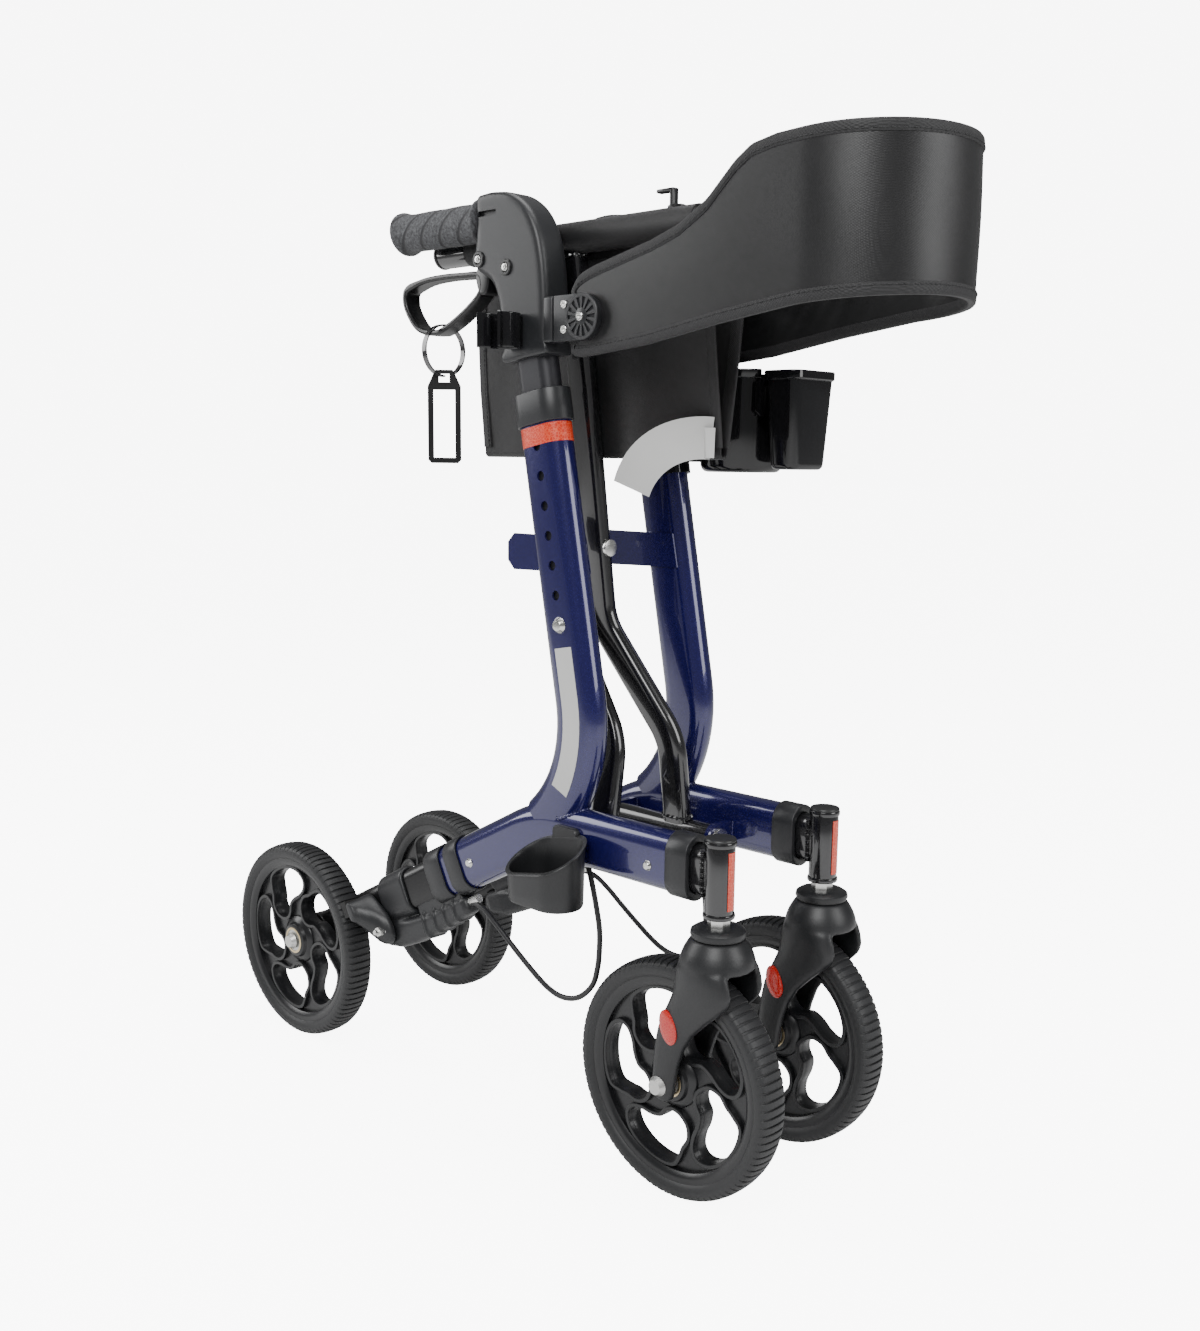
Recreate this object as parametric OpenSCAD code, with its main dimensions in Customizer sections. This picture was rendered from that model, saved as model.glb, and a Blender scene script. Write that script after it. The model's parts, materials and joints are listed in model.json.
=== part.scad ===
// Folding four-wheel walking frame with a fabric seat and a padded back strap.
// X is across the frame, the front faces -Y, Z is up and the ground is Z = 0.
// The frame is drawn folded. The right side (-X) is drawn and the left one is its mirror image.

/* [Wheels] */
// Outer diameter of all four wheels
wheel_d = 203; // [165:1:245]
// Width of a tyre
wheel_w = 30; // [24:1:32]
// Radial thickness of a tyre
tyre_t = 15; // [10:1:20]
// Diameter of the axle bolts
axle_d = 10; // [8:1:12]
// Distance that a caster's axle trails behind its swivel
trail = 38; // [30:1:46]

/* [Side frames] */
// Half the distance between the two side frames when folded
frame_x = 70; // [68:1:90]
// Distance of the rear axle behind the origin
axle_back = 220; // [180:1:270]
// Distance of the caster swivel in front of the origin
head_front = 317.5; // [300:0.5:380]
// Height of the lower tube above the top of a wheel
tube_rise = 80; // [78:1:100]
// Deep side of the oval frame tube
tube_d = 50; // [48:1:56]
// Narrow side of the oval frame tube
tube_w = 28; // [26:1:30]
// Wall of the frame tube
tube_wall = 2; // [1.5:0.1:2.4]
// Lean of the upright, top to the rear, in degrees
lean = 10.8; // [8:0.1:13]
// Length of the straight part of the upright
upright_len = 236; // [220:1:290]

/* [Fold] */
// Half the distance between the two lower brace pivots when folded
pivot_x = 34; // [32:0.5:36]
// Height of the brace crossing above the lower pivots
cross_rise = 250; // [230:1:270]
// Length of a brace above the crossing
brace_upper = 261.3; // [255:0.1:264]
// Deep side of a brace tube
brace_d = 28; // [24:1:28]
// Narrow side of a brace tube
brace_w = 16; // [12:1:18]
// Diameter of a seat rail
rail_d = 23; // [20:1:24]

/* [Handles] */
// Deep side of the sliding handle tube
inner_d = 41; // [38:1:42]
// Narrow side of the sliding handle tube
inner_w = 21; // [18:1:21]
// Spacing of the height holes
hole_pitch = 25; // [20:1:25]
// Diameter of a grip
grip_d = 33; // [28:1:36]
// Length of a grip
grip_len = 113; // [100:1:135]
// Width of a handle housing
housing_w = 30; // [27:1:32]
// Clear height between the grip and the brake lever
lever_gap = 24; // [20:1:28]

/* [Accessories] */
// Outer diameter of the drinks cup
cup_d = 84; // [70:1:86]
// Height of the drinks cup
cup_h = 88; // [70:1:96]
// Thickness of the back strap
strap_t = 5; // [3:0.5:6]
// Reach of the back strap in front of the origin
strap_front = 460; // [440:1:500]

/* [Hidden] */
$fn = 48;
axle_z = wheel_d / 2;
tube_z = wheel_d + tube_rise;
wheel_x = frame_x + 27;
rim_r = axle_z - tyre_t;
fit = 0.03;
gap = 0.3;

// Lower tube: level at the front, then bent down to the rear axle
bend_y = -121;
slope = atan2(tube_z - axle_z, axle_back - bend_y);
slope_len = norm([axle_back - bend_y, tube_z - axle_z]);
rear_tube_end = 150;
front_tube_end = head_front - 26;

// Upright: a straight stretch that curves back onto the lower tube
arc_r = 120;
arc_turn = 62;
foot_lap = 2;
foot_step = 0.4;
foot = [bend_y - 41, tube_z + 119];
arc_c = [foot[0] + arc_r * cos(lean), foot[1] - arc_r * sin(lean)];
function up_axis(t) = [foot[0] + t * sin(lean), foot[1] + t * cos(lean)];
collar_low = upright_len - 4;
collar_high = upright_len + 23;
collar_t = 2.2;
housing_low = collar_high + 31;
lock_hole = 64;
lock_r = 4;
hole_count = 6;
handle_travel = hole_count * hole_pitch;

// Brace: two crossing tubes, each hinged to one side frame and carrying a seat rail
fold_angle = atan2(pivot_x, cross_rise);
pivot_z = tube_z - 8;
brace_lower = norm([pivot_x, cross_rise]);
cross_z = pivot_z + cross_rise;
rail_x = brace_upper * sin(fold_angle);
rail_z = cross_z + brace_upper * cos(fold_angle);
brace_low_y = -184;
brace_high_y = -111;
brace_step = brace_d + 0.8;
knee_low = 84;
knee_high = 184;
brace_wall = 2;
pivot_tube_d = 21;
pivot_bolt_d = 10;
cross_bolt_d = 8;
ear_t = 4;
ear_front = -228;
ear_rear = -108;
rail_front = -250;
rail_rear = 52;

// Handles
bar_d = 22;
grip_z = up_axis(housing_low)[1] + 113 + (lean - 10.8);
grip_y = -46;
inner_low = 10;
inner_top = housing_low + 83;
lever_pin = [-52, grip_z - 33];
lever_pin_d = 6;
lever_w = 18;
lever_t = 5;

// Wheel hub and its bearings
hub_r = 17;
hub_w = 26;
bearing_r = 11;
bearing_w = 7;
spoke_hole_r = (rim_r - hub_r) * 0.29;
spoke_hole_at = hub_r + (rim_r - hub_r) * 0.45;

// Casters
head_r = 12;
stem_r = 6;
head_low = tube_z - 35;
head_high = tube_z + 27;
crown_low = wheel_d + 4;
crown_high = wheel_d + 29;
boot_high = crown_high + 8;
leg_in = wheel_w / 2 + 2.5;
leg_t = 8;

// Back strap
strap_x = frame_x + 9;
strap_pin = [frame_x + 14, -146];
strap_end = -160;
strap_low = up_axis(housing_low)[1] - 5;
strap_high = strap_low + 62;
strap_rise = 29;
strap_peak = 118;

// Cup and phone holder on the left side frame
cup_x = frame_x + 33;
cup_y = -190;
cup_low = tube_z + upright_len + 73;
holder_wall = 2.5;

// Brake cable: round points from the brake up into the frame tube and the handle
cable_d = 5;
cable_route = [
    [-72, -4, 182], [-73, -22, 191], [-74, -40, 190], [-75, -57, 181], [-75, -75, 169], [-75, -95, 156],
    [-75, -115, 144], [-75, -130, 137], [-75, -145, 134], [-74, -160, 136], [-73, -172, 143],
    [-72, -182, 155], [-72, -187, 170], [-71, -188, 185], [-70, -187, 205], [-70, -182, 228],
    [-70, -175, 252], [-70, -165, 278], [-70, -157, 305], [-70, -157, 335], [-70, -163, 370],
    [-70, -162, 402], [-70, -142, 505], [-70, -123, 605], [-70, -109, 678]
];

// ---- shared shapes ----

// Oval section: deep side along Y, narrow side along X
module oval(deep, narrow) {
    square([narrow, deep - narrow], center = true);
    for (s = [-1, 1]) {
        translate([0, s * (deep - narrow) / 2]) circle(d = narrow);
    }
}

// Straight oval bar that starts at [y, z] and runs at an angle above +Y
module bar(start, angle, len, deep, narrow) {
    translate([-frame_x, start[0], start[1]]) rotate([angle - 90, 0, 0]) linear_extrude(len) oval(deep, narrow);
}

// Oval bar along an arc in the side plane
module bent_bar(centre, r, from, turn, deep, narrow) {
    translate([-frame_x, centre[0], centre[1]]) rotate([90, 0, 90]) rotate([0, 0, from])
        rotate_extrude(angle = turn, $fn = 96) translate([r, 0]) rotate(90) oval(deep, narrow);
}

// Places children in the sloping frame: Y runs down the slope, Z is square to it, X starts at the tube
module on_slope() {
    translate([-frame_x, bend_y, tube_z]) rotate([-slope, 0, 0]) children();
}

// Places children on the upright's axis, with Z up along it
module on_upright() {
    translate([-frame_x, foot[0], foot[1]]) rotate([-lean, 0, 0]) children();
}

// Plate: an outline in the side plane, between two distances out from the tube's middle
module side_plate(x_in, x_out) {
    translate([-frame_x - x_out, 0, 0]) rotate([90, 0, 90]) linear_extrude(x_out - x_in) children();
}

// Round bar along X, from one distance out from the tube's middle to another
module cross_bar(x_in, x_out, y, z, r) {
    translate([-frame_x - x_out, y, z]) rotate([0, 90, 0]) cylinder(h = x_out - x_in, r = r);
}

// Dome-headed screw whose head points out to the right
module side_screw(x_face, y, z, r, depth) {
    cross_bar(x_face - depth, x_face, y, z, r);
    translate([-frame_x - x_face, y, z]) rotate([0, -90, 0]) cylinder(h = r * 0.9, r1 = r * 1.75, r2 = r * 1.1);
}

module to_left() {
    mirror([1, 0, 0]) children();
}

// ---- side frame ----

// The lower tube is mitred at its bend; the upright's foot is a little slimmer, so it plugs into both tubes
module frame_tubes(deep, narrow, over) {
    mitre = deep / 2 * tan(slope / 2);
    bar([-front_tube_end - over, tube_z], 0, front_tube_end + over + bend_y + mitre, deep, narrow);
    on_slope() translate([0, -mitre, 0]) rotate([-90, 0, 0])
        linear_extrude(rear_tube_end + mitre + over) oval(deep, narrow);
    bent_bar(arc_c, arc_r, 180 - lean - foot_lap, arc_turn, deep - 2 * foot_step, narrow - 3 * foot_step);
    on_upright() linear_extrude(upright_len + over) oval(deep, narrow - foot_step);
}

// Ear that holds a lower brace pivot bolt
module pivot_ear(y) {
    translate([0, y + ear_t, 0]) rotate([90, 0, 0]) linear_extrude(ear_t) difference() {
        union() {
            translate([-pivot_x, pivot_z]) circle(d = pivot_tube_d + 2);
            translate([-frame_x + tube_w / 2 - 1, pivot_z - 13])
                square([frame_x - tube_w / 2 - pivot_x + 1, (pivot_tube_d + 2) / 2 + 13]);
        }
        translate([-pivot_x, pivot_z]) circle(d = pivot_bolt_d + 2 * fit);
    }
}

// Flat plate on the inside of the upright, under the seat rail
module rest_plate() {
    difference() {
        side_plate(-tube_w / 2 - 1.6, -tube_w / 2 + 0.4) {
            polygon([[-158, tube_z + 224], [-64, tube_z + 222], [-56, tube_z + 230],
                [-56, tube_z + 246], [-64, tube_z + 254], [-152, tube_z + 254]]);
        }
        cross_bar(-tube_w / 2 - 2, -tube_w / 2 + 1, -70, tube_z + 238, 4);
    }
}

module right_side_frame() {
    color("midnightblue") difference() {
        union() {
            frame_tubes(tube_d, tube_w, 0);
            pivot_ear(ear_front);
            pivot_ear(ear_rear - ear_t);
            rest_plate();
        }
        frame_tubes(tube_d - 2 * tube_wall, tube_w - 2 * tube_wall, 1);
        // The lock screw's hole and the empty height holes above it
        for (i = [0:hole_count]) {
            on_upright() translate([-tube_w, 0, lock_hole + i * hole_pitch])
                rotate([0, 90, 0]) cylinder(h = tube_w, r = lock_r + 0.1);
        }
        // Hole where the brake cable leaves the tube
        translate([-frame_x, -174, tube_z - tube_d / 2 - 5]) cylinder(h = 12, d = cable_d + 5);
    }
}

// ---- legs ----

module right_front_leg() {
    color("black") difference() {
        union() {
            bar([-head_front, tube_z], 0, 70, inner_d, inner_w);
            translate([-frame_x, -head_front, head_low]) cylinder(h = head_high - head_low, r = head_r);
        }
        translate([-frame_x, -head_front, head_low - 1]) cylinder(h = head_high - head_low + 2, r = stem_r + fit);
        // Bearing seats
        translate([-frame_x, -head_front, head_low - 1]) cylinder(h = 8, r = 9);
        translate([-frame_x, -head_front, head_high - 7]) cylinder(h = 8, r = 9);
        translate([0, head_r + 4, 0]) bar([-head_front, tube_z], 0, 70, inner_d - 5, inner_w - 5);
    }
}

module right_rear_leg() {
    color("dimgray") difference() {
        union() {
            on_slope() translate([0, 90, 0]) rotate([-90, 0, 0])
                linear_extrude(slope_len - 90) oval(inner_d, inner_w - 1);
            cross_bar(-inner_w / 2 - 0.4, inner_w / 2 + 0.4, axle_back, axle_z, inner_d / 2 + 1.5);
        }
        on_slope() translate([0, 89, 0]) rotate([-90, 0, 0])
            linear_extrude(slope_len - 125) oval(inner_d - 5, inner_w - 6);
        cross_bar(-inner_w, inner_w, axle_back, axle_z, axle_d / 2 + 0.05);
    }
}

// Ring that fits round the frame tube, with a liner that guides the tube inside it
module collar(len, liner) {
    difference() {
        linear_extrude(len) difference() {
            oval(tube_d + 2 * collar_t + 0.2, tube_w + 2 * collar_t + 0.2);
            oval(inner_d + 0.5, inner_w + 0.5);
        }
        translate([0, 0, -1]) linear_extrude(liner + 1) oval(tube_d + 0.2, tube_w + 0.2);
    }
}

module right_collars() {
    color("darkslategray") {
        on_upright() translate([0, 0, collar_low]) collar(collar_high - collar_low, 4);
        translate([-frame_x, -front_tube_end + 18, tube_z]) rotate([90, 0, 0]) collar(22, 18);
        on_slope() translate([0, rear_tube_end - 7, 0]) rotate([-90, 0, 0]) collar(24, 7);
        on_slope() translate([0, rear_tube_end - 36, 0]) rotate([-90, 0, 0]) linear_extrude(20) difference() {
            oval(tube_d + 2 * collar_t + 0.2, tube_w + 2 * collar_t + 0.2);
            oval(tube_d + 0.2, tube_w + 0.2);
        }
    }
}

// The screws of the side frame and the long bolt through the foot of its brace
module right_frame_bolts() {
    face = tube_w / 2 + 0.05;
    inner_face = inner_w / 2 + gap;
    color("silver") {
        side_screw(face, -front_tube_end + 38, tube_z - 4, 2.5, 0.04);
        side_screw(face, bend_y + (rear_tube_end - 50) * cos(slope),
            tube_z - (rear_tube_end - 50) * sin(slope) - 2, 2.5, 0.04);
        on_upright() translate([frame_x, 0, lock_hole]) side_screw(face, 0, 0, lock_r, face - inner_face);
        translate([-pivot_x, ear_front - 0.1, pivot_z]) rotate([-90, 0, 0]) {
            cylinder(h = ear_rear - ear_front + 4, d = pivot_bolt_d);
            translate([0, 0, -6]) cylinder(h = 6, d = 17);
            translate([0, 0, ear_rear - ear_front + 0.3]) cylinder(h = 5, d = 15, $fn = 6);
        }
    }
}

// ---- brake ----

brake_gap = 2.6;
tyre_front = slope_len - axle_z;
arm_pin = [tyre_front - 26, -30];
arm_pin_r = 4;

// Outline in the slope's own plane, from inside the tube's middle to outside it
module slope_plate(x_in, x_out) {
    on_slope() translate([-x_out, 0, 0]) rotate([90, 0, 90]) linear_extrude(x_out - x_in) children();
}

module right_brake_housing() {
    color("dimgray") difference() {
        union() {
            slope_plate(-14, 14) polygon([[rear_tube_end - 20, -29], [rear_tube_end - 20, -46],
                [tyre_front - 70, -50], [tyre_front - 6, -44], [tyre_front - 6, 20], [tyre_front - 30, 28],
                [tyre_front - 72, 25], [rear_tube_end + 26, -27]]);
            slope_plate(-14, 10) polygon([[tyre_front - 7, -42], [slope_len - 30, -32],
                [slope_len - 30, 24], [tyre_front - 7, 19]]);
        }
        on_slope() rotate([-90, 0, 0]) linear_extrude(slope_len + 40) oval(inner_d + 0.4, inner_w - 0.6);
        // Cable socket
        on_slope() translate([-2, rear_tube_end - 21, -34]) rotate([-90, 0, 0]) cylinder(h = 26, d = cable_d + 2);
        slope_plate(8, 15) translate(arm_pin) circle(r = arm_pin_r + fit);
    }
}

// Arm that swings the shoe onto the tyre, with its own pin into the housing
module right_brake_arm() {
    color("dimgray") {
        slope_plate(14 + gap, 41) difference() {
            polygon([[arm_pin[0] - 9, arm_pin[1] - 9], [arm_pin[0] + 8, arm_pin[1] - 9], [arm_pin[0] + 12, -12],
                [tyre_front - 10, -4], [tyre_front - 10, 14], [arm_pin[0] - 4, 10]]);
            translate([arm_pin[0] - 2, -12]) circle(r = 3);
        }
        slope_plate(8.5, 14 + gap) translate(arm_pin) circle(r = arm_pin_r);
    }
}

module right_brake_shoe() {
    color("black") slope_plate(15, 40) difference() {
        translate([tyre_front - 9.9, -3]) square([9.9, 16]);
        translate([slope_len, 0]) circle(r = axle_z + brake_gap, $fn = 120);
    }
}

// ---- brake cable ----

function unit(v) = v / norm(v);
function cable_dir(p, i) = unit(p[min(i + 1, len(p) - 1)] - p[max(i - 1, 0)]);
// The route stays near the side plane, so X serves as the reference for every ring
function cable_ring(p, i, sides) =
    let (d = cable_dir(p, i), u = unit(cross(d, [1, 0, 0])), v = cross(d, u))
    [for (k = [0:sides - 1]) p[i] + cable_d / 2 * (cos(k * 360 / sides) * u + sin(k * 360 / sides) * v)];

module cable(p) {
    sides = 8;
    n = len(p);
    points = [for (i = [0:n - 1]) each cable_ring(p, i, sides)];
    walls = [for (i = [0:n - 2], k = [0:sides - 1])
        [i * sides + k, (i + 1) * sides + k, (i + 1) * sides + (k + 1) % sides, i * sides + (k + 1) % sides]];
    start_cap = [[for (k = [0:sides - 1]) k]];
    end_cap = [[for (k = [0:sides - 1]) n * sides - 1 - k]];
    polyhedron(points = points, faces = concat(walls, start_cap, end_cap));
}

module right_brake_cable() {
    color("black") cable(cable_route);
}

// ---- handle ----

module right_handle_tube() {
    color("black") difference() {
        union() {
            on_upright() translate([0, 0, inner_low]) linear_extrude(inner_top - inner_low) oval(inner_d, inner_w);
            translate([-frame_x, grip_y - 40, grip_z]) rotate([-90, 0, 0]) cylinder(h = grip_len + 36, d = bar_d);
            translate([-frame_x, grip_y - 34, grip_z - 42]) cylinder(h = 40, d = 14);
        }
        on_upright() translate([0, 0, inner_low - 1]) linear_extrude(inner_top - inner_low - 30)
            oval(inner_d - 4, inner_w - 4);
        translate([-frame_x, grip_y - 20, grip_z]) rotate([-90, 0, 0]) cylinder(h = grip_len + 38, d = bar_d - 5);
    }
}

module housing_outline() {
    low = up_axis(housing_low);
    polygon([
        [low[0] - 24, low[1] + 5], [low[0] + 26, low[1] - 3], [low[0] + 31, low[1] + 46],
        [grip_y - 20, grip_z - 42], [grip_y - 5, grip_z - 33], [grip_y - 2, grip_z - 20], [grip_y - 0.3, grip_z - 18],
        [grip_y - 0.3, grip_z + 18], [grip_y - 25, grip_z + 19], [grip_y - 45, grip_z + 15], [grip_y - 62, grip_z + 4],
        [grip_y - 74, grip_z - 14], [grip_y - 81, grip_z - 38], [low[0] - 23, low[1] + 50]
    ]);
}

module right_handle_housing() {
    color("dimgray") difference() {
        side_plate(-housing_w / 2, housing_w / 2) housing_outline();
        on_upright() translate([0, 0, housing_low - 8]) linear_extrude(inner_top - housing_low + 8.2)
            oval(inner_d + 0.4, inner_w + 0.4);
        translate([-frame_x, grip_y - 40.4, grip_z]) rotate([-90, 0, 0]) cylinder(h = 60, d = bar_d + 0.4);
        translate([-frame_x, grip_y - 34, grip_z - 42.2]) cylinder(h = 42, d = 14.4);
        // Flat slot near the top
        translate([-frame_x - housing_w / 2 - 1, grip_y - 28, grip_z + 13.5]) cube([6, 26, 3.4]);
        // Slot for the inner end of the lever, and its pin
        side_plate(-lever_w / 2 - gap, lever_w / 2 + gap)
            polygon([[lever_pin[0] - 9, lever_pin[1] - 32], [lever_pin[0] - 9, lever_pin[1] + 9],
                [lever_pin[0] + 12, lever_pin[1] + 9], [lever_pin[0] + 12, lever_pin[1] - 32]]);
        cross_bar(-housing_w, housing_w, lever_pin[0], lever_pin[1], lever_pin_d / 2 + fit);
        cross_bar(housing_w / 2 - 5, housing_w, lever_pin[0] - 34, lever_pin[1] - 9, 3.05);
    }
}

module right_handle_screws() {
    face = housing_w / 2;
    color("silver") {
        cross_bar(-face, face + 1, lever_pin[0], lever_pin[1], lever_pin_d / 2);
        cross_bar(face + 0.05, face + 3, lever_pin[0], lever_pin[1], 6);
        cross_bar(face - 4.5, face + 1, lever_pin[0] - 34, lever_pin[1] - 9, 3);
        cross_bar(face + 0.05, face + 3, lever_pin[0] - 34, lever_pin[1] - 9, 6);
    }
}

module right_grip() {
    color("gray") translate([-frame_x, grip_y, grip_z]) rotate([-90, 0, 0]) difference() {
        union() {
            cylinder(h = grip_len, d = grip_d);
            cylinder(h = 6, d = grip_d + 6);
        }
        translate([0, 0, -1]) cylinder(h = grip_len - 2, d = bar_d + 0.1);
    }
}

// Closed finger loop, drawn as an outline with an inner cut
module lever_outline(inset) {
    y = lever_pin[0];
    z = grip_z - grip_d / 2 - lever_gap;
    polygon([
        [y + 9 + inset, z - inset], [y + 55, z + 1 - inset], [y + 98, z - 4 - inset], [y + 113 - inset, z - 12],
        [y + 111 - inset, z - 28], [y + 98, z - 44 + inset], [y + 70, z - 51 + inset], [y + 62, z - 51 + inset],
        [y + 24, z - 33 + inset], [y + 3 + inset, z - 19]
    ]);
}

module right_brake_lever() {
    color("black") difference() {
        union() {
            side_plate(-lever_w / 2, lever_w / 2) difference() {
                lever_outline(0);
                lever_outline(lever_t);
            }
            side_plate(-lever_w / 2, lever_w / 2) polygon([
                [lever_pin[0] - 5, lever_pin[1] + 5], [lever_pin[0] + 4, lever_pin[1] + 5],
                [lever_pin[0] + 12, grip_z - grip_d / 2 - lever_gap - 1],
                [lever_pin[0] + 5, grip_z - grip_d / 2 - lever_gap - 20],
                [lever_pin[0] - 2, lever_pin[1] - 24]
            ]);
        }
        cross_bar(-lever_w, lever_w, lever_pin[0], lever_pin[1], lever_pin_d / 2 + fit);
    }
}

// ---- casters and wheels ----

module leg_outline() {
    polygon([
        [-head_front - 27, crown_low + 8], [-head_front - 21, crown_low - 30], [-head_front + 2, crown_low - 78],
        [-head_front + trail - 15, axle_z - 6], [-head_front + trail + 15, axle_z - 2],
        [-head_front + trail + 24, crown_low - 66], [-head_front + 34, crown_low - 22], [-head_front + 27, crown_low + 8]
    ]);
    translate([-head_front + trail, axle_z]) circle(r = 16);
}

module right_caster_fork() {
    color("dimgray") difference() {
        union() {
            translate([-frame_x, -head_front, crown_low]) cylinder(h = crown_high - crown_low - 8, r = 28);
            translate([-frame_x, -head_front, crown_high - 8]) cylinder(h = 8, r1 = 28, r2 = 22);
            for (side = [-1, 1]) {
                side_plate(side * (leg_in + leg_t / 2) - leg_t / 2, side * (leg_in + leg_t / 2) + leg_t / 2)
                    leg_outline();
            }
        }
        cross_bar(-50, 50, -head_front + trail, axle_z, axle_d / 2 + fit);
        translate([-frame_x, -head_front, crown_low - 1]) cylinder(h = 40, r = stem_r + fit);
    }
}

module right_caster_stem() {
    color("silver") translate([-frame_x, -head_front, 0]) {
        translate([0, 0, crown_low + 2]) cylinder(h = head_high - crown_low - 6, r = stem_r);
        // Boot disc, lower nut, the two head bearings and the top cap
        translate([0, 0, crown_high]) difference() {
            cylinder(h = boot_high - crown_high, r = 22.5);
            translate([0, 0, -1]) cylinder(h = 20, r = stem_r + fit);
        }
        translate([0, 0, boot_high]) difference() {
            cylinder(h = head_low - boot_high - gap, r = 9.5, $fn = 6);
            translate([0, 0, -1]) cylinder(h = 20, r = stem_r + fit);
        }
        for (z = [head_low + 0.2, head_high - 6.8]) {
            translate([0, 0, z]) difference() {
                cylinder(h = 6, r = 9 - fit);
                translate([0, 0, -1]) cylinder(h = 8, r = stem_r + fit);
            }
        }
        translate([0, 0, head_high + gap]) cylinder(h = 1.2, r = head_r);
        translate([0, 0, head_high - 4]) cylinder(h = 4 + gap, r = stem_r);
    }
}

// A wheel is drawn round its own middle, axle along X
module tyre() {
    w = wheel_w / 2;
    r = axle_z;
    color("black") rotate([0, 90, 0]) rotate_extrude($fn = 96) polygon([
        [rim_r, -w + 3], [rim_r + 4, -w + 0.6], [r - 6, -w], [r - 1.8, -w + 3.4], [r, -w + 8],
        [r, w - 8], [r - 1.8, w - 3.4], [r - 6, w], [rim_r + 4, w - 0.6], [rim_r, w - 3]
    ]);
}

module rim() {
    color("dimgray") rotate([0, 90, 0]) difference() {
        union() {
            translate([0, 0, -hub_w / 2]) cylinder(h = hub_w, r = hub_r);
            translate([0, 0, -8]) cylinder(h = 16, r = rim_r);
            difference() {
                translate([0, 0, -wheel_w / 2 + 3]) cylinder(h = wheel_w - 6, r = rim_r);
                translate([0, 0, -wheel_w]) cylinder(h = 2 * wheel_w, r = rim_r - 11);
            }
        }
        for (i = [0:4]) {
            rotate(i * 72) translate([spoke_hole_at, 0, -wheel_w]) cylinder(h = 2 * wheel_w, r = spoke_hole_r);
        }
        translate([0, 0, -hub_w]) cylinder(h = 2 * hub_w, r = 8);
        for (s = [-1, 1]) {
            translate([0, 0, s * (hub_w / 2 - bearing_w / 2)]) cylinder(h = bearing_w + 0.1, r = bearing_r + fit, center = true);
        }
    }
}

// Bolt with a domed head at +X, and the two bearings that stay with it
module axle(x_in, x_out) {
    color("silver") {
        rotate([0, 90, 0]) translate([0, 0, x_in]) cylinder(h = x_out - x_in, d = axle_d);
        rotate([0, 90, 0]) translate([0, 0, x_out]) cylinder(h = 4.5, r1 = 8.5, r2 = 6);
        for (s = [-1, 1]) {
            rotate([0, 90, 0]) translate([0, 0, s * (hub_w / 2 - bearing_w / 2) - bearing_w / 2]) difference() {
                cylinder(h = bearing_w, r = bearing_r);
                translate([0, 0, -1]) cylinder(h = bearing_w + 2, r = axle_d / 2 + 0.01);
            }
        }
    }
}

module at_front_wheel() {
    translate([-frame_x, -head_front + trail, axle_z]) mirror([1, 0, 0]) children();
}

module at_rear_wheel() {
    translate([-wheel_x, axle_back, axle_z]) mirror([1, 0, 0]) children();
}

// ---- brace ----

// A brace in its own frame: Y as the object, Z up along the brace from its pivot, X across it
module brace_path(deep, y_low, y_high, top) {
    h = deep / 2;
    lift = h * tan(atan2(y_high - y_low, knee_high - knee_low) / 2);
    polygon([
        [y_low - h, 0], [y_low + h, 0], [y_low + h, knee_low - lift], [y_high + h, knee_high - lift],
        [y_high + h, top], [y_high - h, top], [y_high - h, knee_high + lift], [y_low - h, knee_low + lift]
    ]);
}

module brace_tube(y_low) {
    y_high = y_low + brace_high_y - brace_low_y;
    reach = brace_lower + brace_upper;
    difference() {
        union() {
            translate([-brace_w / 2, 0, 0]) rotate([90, 0, 90]) linear_extrude(brace_w)
                brace_path(brace_d, y_low, y_high, reach);
            translate([0, ear_front + ear_t + 0.5, 0]) rotate([-90, 0, 0])
                cylinder(h = ear_rear - ear_front - 2 * ear_t - 1, d = pivot_tube_d);
            translate([0, rail_front, reach]) rotate([-90, 0, 0]) cylinder(h = rail_rear - rail_front, d = rail_d);
        }
        difference() {
            translate([-brace_w / 2 + brace_wall, 0, 0]) rotate([90, 0, 90])
                linear_extrude(brace_w - 2 * brace_wall) brace_path(brace_d - 2 * brace_wall, y_low, y_high, reach);
            cylinder(h = pivot_tube_d + 4, r = 200, center = true);
            translate([0, y_high, brace_lower]) cube([60, 60, 22], center = true);
        }
        translate([0, ear_front, 0]) rotate([-90, 0, 0])
            cylinder(h = ear_rear - ear_front, d = pivot_bolt_d + 2 * fit);
        translate([0, rail_front - 1, reach]) rotate([-90, 0, 0])
            cylinder(h = rail_rear - rail_front + 2, d = rail_d - 4);
        translate([0, y_high - 40, brace_lower]) rotate([-90, 0, 0]) cylinder(h = 80, d = cross_bolt_d + 2 * fit);
    }
}

// Brace A is hinged to the left frame and carries the right rail
module brace_a() {
    color("black") translate([pivot_x, 0, pivot_z]) rotate([0, -fold_angle, 0]) brace_tube(brace_low_y);
}

// Brace B is hinged to the right frame and carries the left rail
module brace_b() {
    color("black") translate([-pivot_x, 0, pivot_z]) rotate([0, fold_angle, 0]) brace_tube(brace_low_y + brace_step);
}

module brace_cross_bolt() {
    front = brace_high_y - brace_d / 2 - 0.4;
    rear = brace_high_y + brace_step + brace_d / 2;
    color("silver") translate([0, front, cross_z]) rotate([-90, 0, 0]) {
        cylinder(h = rear - front + 6, d = cross_bolt_d);
        translate([0, 0, -3.5]) cylinder(h = 3.5, d = 15);
        translate([0, 0, rear - front + 0.4]) cylinder(h = 5, d = 14, $fn = 6);
    }
}

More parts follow.
